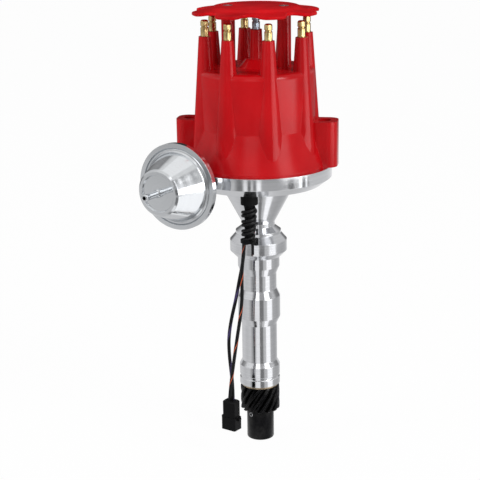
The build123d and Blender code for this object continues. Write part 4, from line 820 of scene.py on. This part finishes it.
def retainer_fall(radius):
    """How far the top lies below its middle: a smooth step of the radius, then an even slope."""
    out = (radius - STEP_OUTER_RADIUS) / (RETAINER_EDGE_RADIUS - STEP_OUTER_RADIUS)
    return STEP_FALL * ease(radius, STEP_INNER_RADIUS, STEP_OUTER_RADIUS) + LOBE_FALL * np.clip(out, 0.0, 1.0)


def stepped_retainer():
    """Lobed plate with a raised round middle. The top falls from the middle's level to the lobes' by a
    smooth step of the radius, slopes on to the rim, dips round each screw's head and rounds over at
    the rim. The underside goes back in the same way, one thickness lower and without the dips."""
    angle = full_turn(RETAINER_SIDES)[None, :]
    outline = lobed_outline(angle)
    inset, depth = np.array(RIM).T[:, :, None]
    near_screws = np.arange(16.5, 27.0, 0.5)
    step = np.linspace(STEP_INNER_RADIUS, STEP_OUTER_RADIUS, 13)
    inner = np.concatenate([[3.0, 8.0, 13.0], near_screws, [29.0], step])[:, None] + np.zeros_like(angle)
    lobe_share = np.array([0.15, 0.4, 0.65, 0.85])[:, None]
    lobe = STEP_OUTER_RADIUS + (outline - RIM[0][0] - STEP_OUTER_RADIUS) * lobe_share
    edge = outline - inset
    dips = np.zeros_like(inner)
    for screw_x in (SCREW_MIDDLE, -SCREW_MIDDLE):
        from_screw = np.hypot(inner * np.cos(angle) - screw_x, inner * np.sin(angle))
        dips += DIP_DEPTH * ease(from_screw, DIP_RADIUS, DIP_RADIUS - DIP_WALL)
    under = np.full((len(lobe) + len(inner), RETAINER_SIDES), RETAINER_THICKNESS)
    radius = np.vstack([inner, lobe, edge, lobe[::-1], inner[::-1]])
    below = np.vstack([dips, np.zeros_like(lobe), np.broadcast_to(depth, edge.shape), under])
    return shell(round_grid(radius, angle, RETAINER_TOP_Z - retainer_fall(radius) - below))


piece(
    "retainer_moulded", [stepped_retainer()], retainer_red, "retainer_unit", ["wire_retainer"],
    "red_moulding", crease=50.0,
)


# ------------------------ drive gear and its pin

HUB_FOOT_Z, GEAR_TOP_Z = lowest_and_highest("drive_gear")
GEAR_WIDTH = 20.6
GEAR_FOOT_Z = GEAR_TOP_Z - GEAR_WIDTH
GEAR_TEETH = 13
GEAR_TIP = 15.7
GEAR_ROOT = 12.4
GEAR_TWIST = GEAR_WIDTH * math.tan(math.radians(37.0)) / GEAR_TIP
TOOTH_TIP_SHARE = 0.13  # half of a tooth's tip, as a share of the pitch
TOOTH_ROOT_SHARE = 0.33  # half of its root
TOOTH_EASE = 0.3  # how much of its flank is a cosine
TOOTH_BEVEL = 0.7
POINTS_PER_TOOTH = 28
HUB_RADIUS = 10.9
SHAFT_BORE = 6.36
PIN_Z = -133.15
PIN_ANGLE = -125.0
PIN_RADIUS = 1.95
PIN_BORE = 1.1
PIN_ROUND = 0.3
PIN_PROUD = 0.1  # of the hub


def helical_gear():
    """Gear and hub on one bore. At each height the radius is a trapezoid wave of the angle with thirteen
    teeth, its corners eased by a cosine; the wave turns evenly with the height, and shrinks to a
    bevelled edge at both faces. The gear's lower face steps in to the round hub."""
    angle = full_turn(GEAR_TEETH * POINTS_PER_TOOTH)
    profile = [  # radius, height, and 1 where the teeth are
        (SHAFT_BORE, HUB_FOOT_Z, 0), (HUB_RADIUS - 0.8, HUB_FOOT_Z, 0),
        (HUB_RADIUS - 0.25, HUB_FOOT_Z + 0.4, 0), (HUB_RADIUS, HUB_FOOT_Z + 1.0, 0),
        (HUB_RADIUS, (HUB_FOOT_Z + GEAR_FOOT_Z) / 2, 0), (HUB_RADIUS, GEAR_FOOT_Z - 0.3, 0),
        (HUB_RADIUS + 0.3, GEAR_FOOT_Z, 0), (GEAR_ROOT - 0.3, GEAR_FOOT_Z, 0),
    ]
    profile += [(GEAR_ROOT, height, 1) for height in np.linspace(GEAR_FOOT_Z, GEAR_TOP_Z, 34)]
    profile += [
        (GEAR_ROOT - 0.3, GEAR_TOP_Z, 0), (SHAFT_BORE, GEAR_TOP_Z, 0),
        (SHAFT_BORE, (HUB_FOOT_Z + GEAR_TOP_Z) / 2, 0),
    ]
    plain, height, toothed = np.array(profile).T[:, :, None]
    turned = angle - GEAR_TWIST * (height - GEAR_FOOT_Z) / GEAR_WIDTH
    off_middle = np.abs((turned * GEAR_TEETH / (2 * math.pi) + 0.5) % 1.0 - 0.5)
    share = np.clip((TOOTH_ROOT_SHARE - off_middle) / (TOOTH_ROOT_SHARE - TOOTH_TIP_SHARE), 0.0, 1.0)
    eased = (1.0 - TOOTH_EASE) * share + TOOTH_EASE * (0.5 - 0.5 * np.cos(math.pi * share))
    from_face = np.minimum(height - GEAR_FOOT_Z, GEAR_TOP_Z - height)
    bevel = TOOTH_BEVEL - np.clip(from_face, 0.0, TOOTH_BEVEL)
    tooth = np.minimum(GEAR_ROOT + (GEAR_TIP - GEAR_ROOT) * eased, GEAR_TIP - bevel)
    return hoop(round_grid(np.where(toothed > 0, tooth, plain), angle, height))


def spring_pin():
    """Rolled cross pin through the hub: a tube's wall with rounded rims, carried round the pin's own
    level axis. Its ends stand a little proud of the hub."""
    heading = polar(1.0, PIN_ANGLE)
    aside = polar(1.0, PIN_ANGLE + 90.0)
    angle = full_turn(40)
    around = np.cos(angle)[:, None] * aside + np.sin(angle)[:, None] * (0.0, 0.0, 1.0)
    end = HUB_RADIUS + PIN_PROUD
    rim = [
        (PIN_BORE, end - PIN_ROUND), (PIN_BORE + 0.2, end), (PIN_RADIUS - 0.25, end),
        (PIN_RADIUS, end - PIN_ROUND),
    ]
    far_rim = [(radius, -along) for radius, along in rim]
    profile = [*far_rim, (PIN_RADIUS, 0.0), *rim[::-1], (PIN_BORE, 0.0)]
    radius, along = np.array(profile).T[:, :, None, None]
    return hoop((along * heading + radius * around + (0.0, 0.0, PIN_Z)) * MM)


piece(
    "drive_gear_cut", [helical_gear()], black_oxide, "drive_shaft", ["drive_gear"],
    "black_oxide", crease=32.0,
)
piece(
    "gear_roll_pin_rolled", [spring_pin()], spring_wire_steel, "drive_shaft", ["gear_roll_pin"],
    "bright_steel",
)


# ------------------------ core of the lead's coil

CORE_TOP_Z = COIL_TOP_Z + 2.0
CORE_FOOT_Z = 20.5
CORE_TOP_RADIUS = 3.7
CORE_TAPER = 0.9
CORE_RIB = 0.12


def lead_core():
    """Rubber core that the two wires are wound on: a ribbed round rod whose radius narrows and whose
    axis leans with the winding, ribbed by a cosine of the height."""
    height = np.linspace(CORE_TOP_Z, CORE_FOOT_Z, 90)[:, None]
    drop = (COIL_TOP_Z - height) / (COIL_TOP_Z - COIL_FOOT_Z)
    radius = CORE_TOP_RADIUS - CORE_TAPER * drop + CORE_RIB * np.cos(height * 4 * math.pi / coil_pitch)
    return shell(round_grid(radius, full_turn(28), height, (COIL_LEAN * drop, LEAD_Y)))


piece("lead_core", [lead_core()], black_rubber, "base", ["lead_coil"], "black_rubber", crease=60.0)


# ------------------------ springs

WIRE_SIDES = 12
CLOSED_TURNS = 0.75  # at each end of a ground spring
CLOSED_RISE = 0.05  # of a closed turn, as a share of the spring's length
HOOK_SWEEP = math.radians(215.0)
HOOK_GAP = 0.12  # of the hook's angle, from the spring's axis


def wire_shell(path, thickness):
    """Round wire along a path: at each station a circle lies across the path, and the circle's start is
    carried from station to station by the smallest turn, so that the wire never twists."""
    along = np.gradient(path, axis=0)
    along /= np.linalg.norm(along, axis=1)[:, None]
    aside = np.empty_like(path)
    seed = np.cross(along[0], (0.3, 0.5, 0.81))
    aside[0] = seed / np.linalg.norm(seed)
    for k in range(1, len(path)):
        carried = aside[k - 1] - along[k] * np.dot(aside[k - 1], along[k])
        aside[k] = carried / np.linalg.norm(carried)
    across = np.cross(along, aside)
    angle = full_turn(WIRE_SIDES)[None, :, None]
    round_way = np.cos(angle) * aside[:, None, :] + np.sin(angle) * across[:, None, :]
    return shell((path[:, None, :] + round_way * thickness / 2) * MM)


def winding(start, end, radius, turns, stations_per_turn=20):
    """Path of a compression spring between two points: a circle across the axis carried along it, with
    the first and last turns closed up as on a ground spring."""
    axis = (end - start) / np.linalg.norm(end - start)
    aside = np.cross(axis, (0.0, 0.0, 1.0) if abs(axis[2]) < 0.9 else (1.0, 0.0, 0.0))
    aside /= np.linalg.norm(aside)
    across = np.cross(axis, aside)
    t = np.linspace(0.0, 1.0, int(turns * stations_per_turn))
    angle = 2 * math.pi * turns * t[:, None]
    closed = CLOSED_TURNS / turns
    low = CLOSED_RISE * CLOSED_TURNS
    rise = np.interp(t, [0.0, closed, 1.0 - closed, 1.0], [0.0, low, 1.0 - low, 1.0])
    return start + rise[:, None] * (end - start) + radius * (np.cos(angle) * aside + np.sin(angle) * across)


def hooked_spring_path(post, post_radius, pin, pin_radius, coil_radius, body_length, turns):
    """Path of a tension spring: a loop round the post, the close winding, and a loop round the pin.
    Each loop is an open circle in the level plane that starts on the far side and ends on the
    spring's axis, where the winding's radius grows from nothing."""
    axis = (pin - post) / np.linalg.norm(pin - post)
    up = np.array([0.0, 0.0, 1.0])
    level = np.cross(up, axis)

    def loop(middle, radius, facing):
        angle = np.linspace(-HOOK_SWEEP, -HOOK_GAP, 34)[:, None]
        return middle + radius * (np.cos(angle) * facing + np.sin(angle) * level)

    first = loop(post, post_radius, axis)
    last = loop(pin, pin_radius, -axis)[::-1]
    t = np.linspace(0.0, 1.0, int(turns * 18))[:, None]
    angle = 2 * math.pi * turns * t
    grown = coil_radius * np.clip(np.minimum(t, 1.0 - t) * turns * 2.0, 0.0, 1.0)
    middle = (first[-1] + last[0]) / 2 + (t - 0.5) * body_length * axis
    return np.vstack([first, middle + grown * (np.cos(angle) * level + np.sin(angle) * up), last])


def on_canister_axis(distance):
    """A point on the canister's axis, so far out from its middle."""
    return CANISTER_MIDDLE + CANISTER_OUT * distance


brush_path = winding(polar(0.0, 0.0, 133.85), polar(0.0, 0.0, 141.65), 2.0, 7.5)
canister_path = winding(on_canister_axis(2.4), on_canister_axis(23.4), 8.3, 6.5, stations_per_turn=36)
canister_spring = piece(
    "canister_spring_wound", [wire_shell(canister_path, 1.2)], spring_wire_steel, "base",
    ["canister_spring"], "spring_steel", crease=60.0,
)
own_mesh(canister_spring)
piece(
    "brush_spring_wound", [wire_shell(brush_path, 0.6)],
    spring_wire_steel, "cap_unit", ["brush_spring"], "spring_steel", crease=60.0,
)

ADVANCE_SPRING_Z = 90.8
for label, turn in (("front", 180.0), ("rear", 0.0)):
    cam_post = polar(14.6, 100.0 + turn, ADVANCE_SPRING_Z)
    weight_pin = polar(21.5, 45.0 + turn, ADVANCE_SPRING_Z)
    path = hooked_spring_path(cam_post, 2.05, weight_pin, 3.05, coil_radius=1.25, body_length=9.0, turns=11)
    spring = piece(
        "advance_spring_" + label, [wire_shell(path, 0.75)], spring_wire_steel, None,
        ["advance_springs"], "spring_steel", crease=60.0,
    )
    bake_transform(spring)


# ------------------------ studio

FLOOR_REACH = 6.0
FLOOR_GLOW = 0.965  # the rest of the floor is lit, and keeps the shadow
WORLD_LIGHT = 0.50
LAMPS = (  # name, place, size and power
    ("key", (1.36, -0.80, 1.2), 0.8, 19.0),
    ("fill", (-1.3, -0.8, 0.7), 1.0, 10.0),
)
LAMP_AIM = (0.0, 0.0, 0.05)

# Levels of the mirrored studio's white by bearing, in degrees from the camera's side towards its right.
NEAR_LEVELS = (
    (-180, 0.60), (-120, 0.66), (-90, 0.58), (-60, 0.64), (-50, 0.46), (-42, 0.30), (-28, 0.36), (-20, 0.92),
    (0, 0.95), (3, 0.22), (8, 0.20), (21, 0.22), (26, 0.56), (40, 0.60), (45, 1.2), (70, 1.2), (77, 0.48),
    (110, 0.42), (140, 0.50), (165, 0.80), (180, 0.60),
)
FAR_LEVELS = (
    (-180, 0.60), (-120, 0.75), (-75, 0.80), (-60, 0.50), (-50, 0.70), (-36, 0.58), (-29, 0.20), (-23, 0.22),
    (-20, 0.95), (-16, 0.95), (-14, 0.12), (-11, 0.18), (-9, 0.95), (-6, 0.22), (-3, 0.25), (-1, 1.2),
    (3, 1.2), (6, 0.46), (44, 0.44), (47, 0.10), (54, 0.12), (57, 0.50), (63, 0.55), (65, 1.5), (68, 1.5),
    (70, 0.12), (75, 0.15), (77, 1.5), (80, 0.25), (84, 0.62), (130, 0.66), (160, 0.85),
)
CAP_LEVELS = (
    (-180, 0.10), (-120, 0.25), (-70, 0.45), (-40, 0.25), (-20, 0.16), (32, 0.16), (42, 4.6), (76, 4.6),
    (84, 0.35), (120, 0.25), (180, 0.12),
)
HIGH_LEVELS = (
    (-180, 0.03), (-162, 0.04), (-140, 0.60), (-90, 0.70), (-70, 0.72), (-45, 0.72), (-34, 0.30), (-28, 0.35),
    (-21, 1.8), (-4, 1.8), (4, 0.40), (32, 0.40), (38, 3.0), (56, 3.0), (64, 0.40), (90, 0.60), (140, 0.60),
    (162, 0.04), (180, 0.03),
)
BANDS = (  # levels, and the heights between which they take over from those below
    (FAR_LEVELS, -0.1505, -0.125),
    (CAP_LEVELS, -0.10, -0.03),
    (HIGH_LEVELS, 0.12, 0.26),
)
TOP_LEVEL = 0.78
TOP_BAND = (0.95, 1.25)
COVE_PROFILE = (  # radius and height above the floor
    (0.05, 0.002), (0.3, 0.002), (0.62, 0.004), (0.76, 0.05), (0.84, 0.2), (0.86, 0.6), (0.86, 1.9)
)
COVE_SIDES = 96


def emitter(name):
    """An empty material and its tree."""
    material = bpy.data.materials.new(name)
    material.use_nodes = True
    material.node_tree.nodes.clear()
    return material, material.node_tree


def seen_directly(tree):
    """1 for rays from the camera, off metal and through glass; 0 for the rays that light the object."""
    path = put(tree, "LightPath").outputs
    seen_or_mirrored = calc(tree, "MAXIMUM", path["Is Camera Ray"], path["Is Glossy Ray"])
    return calc(tree, "MAXIMUM", seen_or_mirrored, path["Is Transmission Ray"])


def make_floor():
    """A pale level sheet, with its corners far outside the view."""
    corners = np.array([(-1, -1, 0), (1, -1, 0), (1, 1, 0), (-1, 1, 0)]) * FLOOR_REACH + (0, 0, FLOOR_Z)
    floor = mesh_object("floor", corners, [(0, 1, 2, 3)], crease=0.0)
    material, tree = emitter("pale floor")
    soft = put(tree, "BsdfDiffuse", {"Color": (0.9, 0.9, 0.9, 1.0)}).outputs[0]
    glow = put(tree, "Emission", {"Color": (1.0, 1.0, 1.0, 1.0), "Strength": 1.0}).outputs[0]
    share = times(tree, seen_directly(tree), FLOOR_GLOW)
    mixed = put(tree, "MixShader", {0: share, 1: soft, 2: glow}).outputs[0]
    put(tree, "OutputMaterial", {"Surface": mixed})
    paint(floor, material)


def white_by_bearing(tree, turn, levels):
    """The studio's white at one height, from the turn round the object: 0.5 is the camera's side."""
    ramp = put(tree, "ValToRGB", {"Fac": turn})
    stops = ramp.color_ramp.elements
    while len(stops) < len(levels):
        stops.new(0.5)
    for stop, (bearing, level) in zip(stops, levels):
        stop.position = bearing / 360.0 + 0.5
        stop.color = (level, level, level * 1.01, 1.0)
    return ramp.outputs[0]


def make_reflected_studio():
    """The studio that the bright metal mirrors: a round cove whose white changes with the way it lies
    from the object, as soft boxes and dark gaps between them would. Only mirrored rays see it."""
    radius, height = np.array(COVE_PROFILE).T[:, :, None] / MM
    rings = round_grid(radius, full_turn(COVE_SIDES), FLOOR_Z / MM + height)
    faces = grid_quads(*rings.shape[:2]).tolist()
    cove = mesh_object("reflected_studio", rings.reshape(-1, 3), faces, crease=180.0)
    material, tree = emitter("studio white")
    x, y, z = axes(tree, put(tree, "TexCoord").outputs["Object"])
    bearing = calc(tree, "ARCTAN2", x, times(tree, y, -1.0))
    turn = calc(tree, "MULTIPLY_ADD", bearing, 1 / (2 * math.pi), 0.5 - CAMERA_TURN / (2 * math.pi))
    turn = calc(tree, "FRACT", turn)
    mixed = white_by_bearing(tree, turn, NEAR_LEVELS)
    for levels, low, high in BANDS:
        mixed = blend_colour(tree, span(tree, z, low, high), mixed, white_by_bearing(tree, turn, levels))
    mixed = blend_colour(tree, span(tree, z, *TOP_BAND), mixed, (TOP_LEVEL,) * 3)
    glow = put(tree, "Emission", {"Color": mixed, "Strength": 1.0}).outputs[0]
    put(tree, "OutputMaterial", {"Surface": glow})
    paint(cove, material)
    cove.visible_camera = False
    cove.visible_diffuse = False
    cove.visible_transmission = False
    cove.visible_volume_scatter = False
    cove.visible_shadow = False


def make_world():
    """White where it is seen, and a plain soft light on the object."""
    world = bpy.data.worlds.new("studio")
    scene.world = world
    world.use_nodes = True
    tree = world.node_tree
    light = {"Value": seen_directly(tree), "To Min": WORLD_LIGHT, "To Max": 1.0}
    strength = put(tree, "MapRange", light).outputs[0]
    set_inputs(tree, tree.nodes["Background"], {"Color": (1.0, 1.0, 1.0, 1.0), "Strength": strength})


def add_lamp(name, place, size, power):
    """A round soft lamp that looks at the bowl."""
    light = bpy.data.lights.new(name, "AREA")
    light.shape = "DISK"
    light.size = size
    light.energy = power
    lamp = bpy.data.objects.new(name, light)
    scene.collection.objects.link(lamp)
    lamp.location = place
    lamp.rotation_mode = "QUATERNION"
    lamp.rotation_quaternion = (Vector(LAMP_AIM) - Vector(place)).to_track_quat("-Z", "Y")


make_floor()
make_reflected_studio()
make_world()
for lamp in LAMPS:
    add_lamp(*lamp)


# ------------------------ final update of the view layer

bpy.context.view_layer.update()
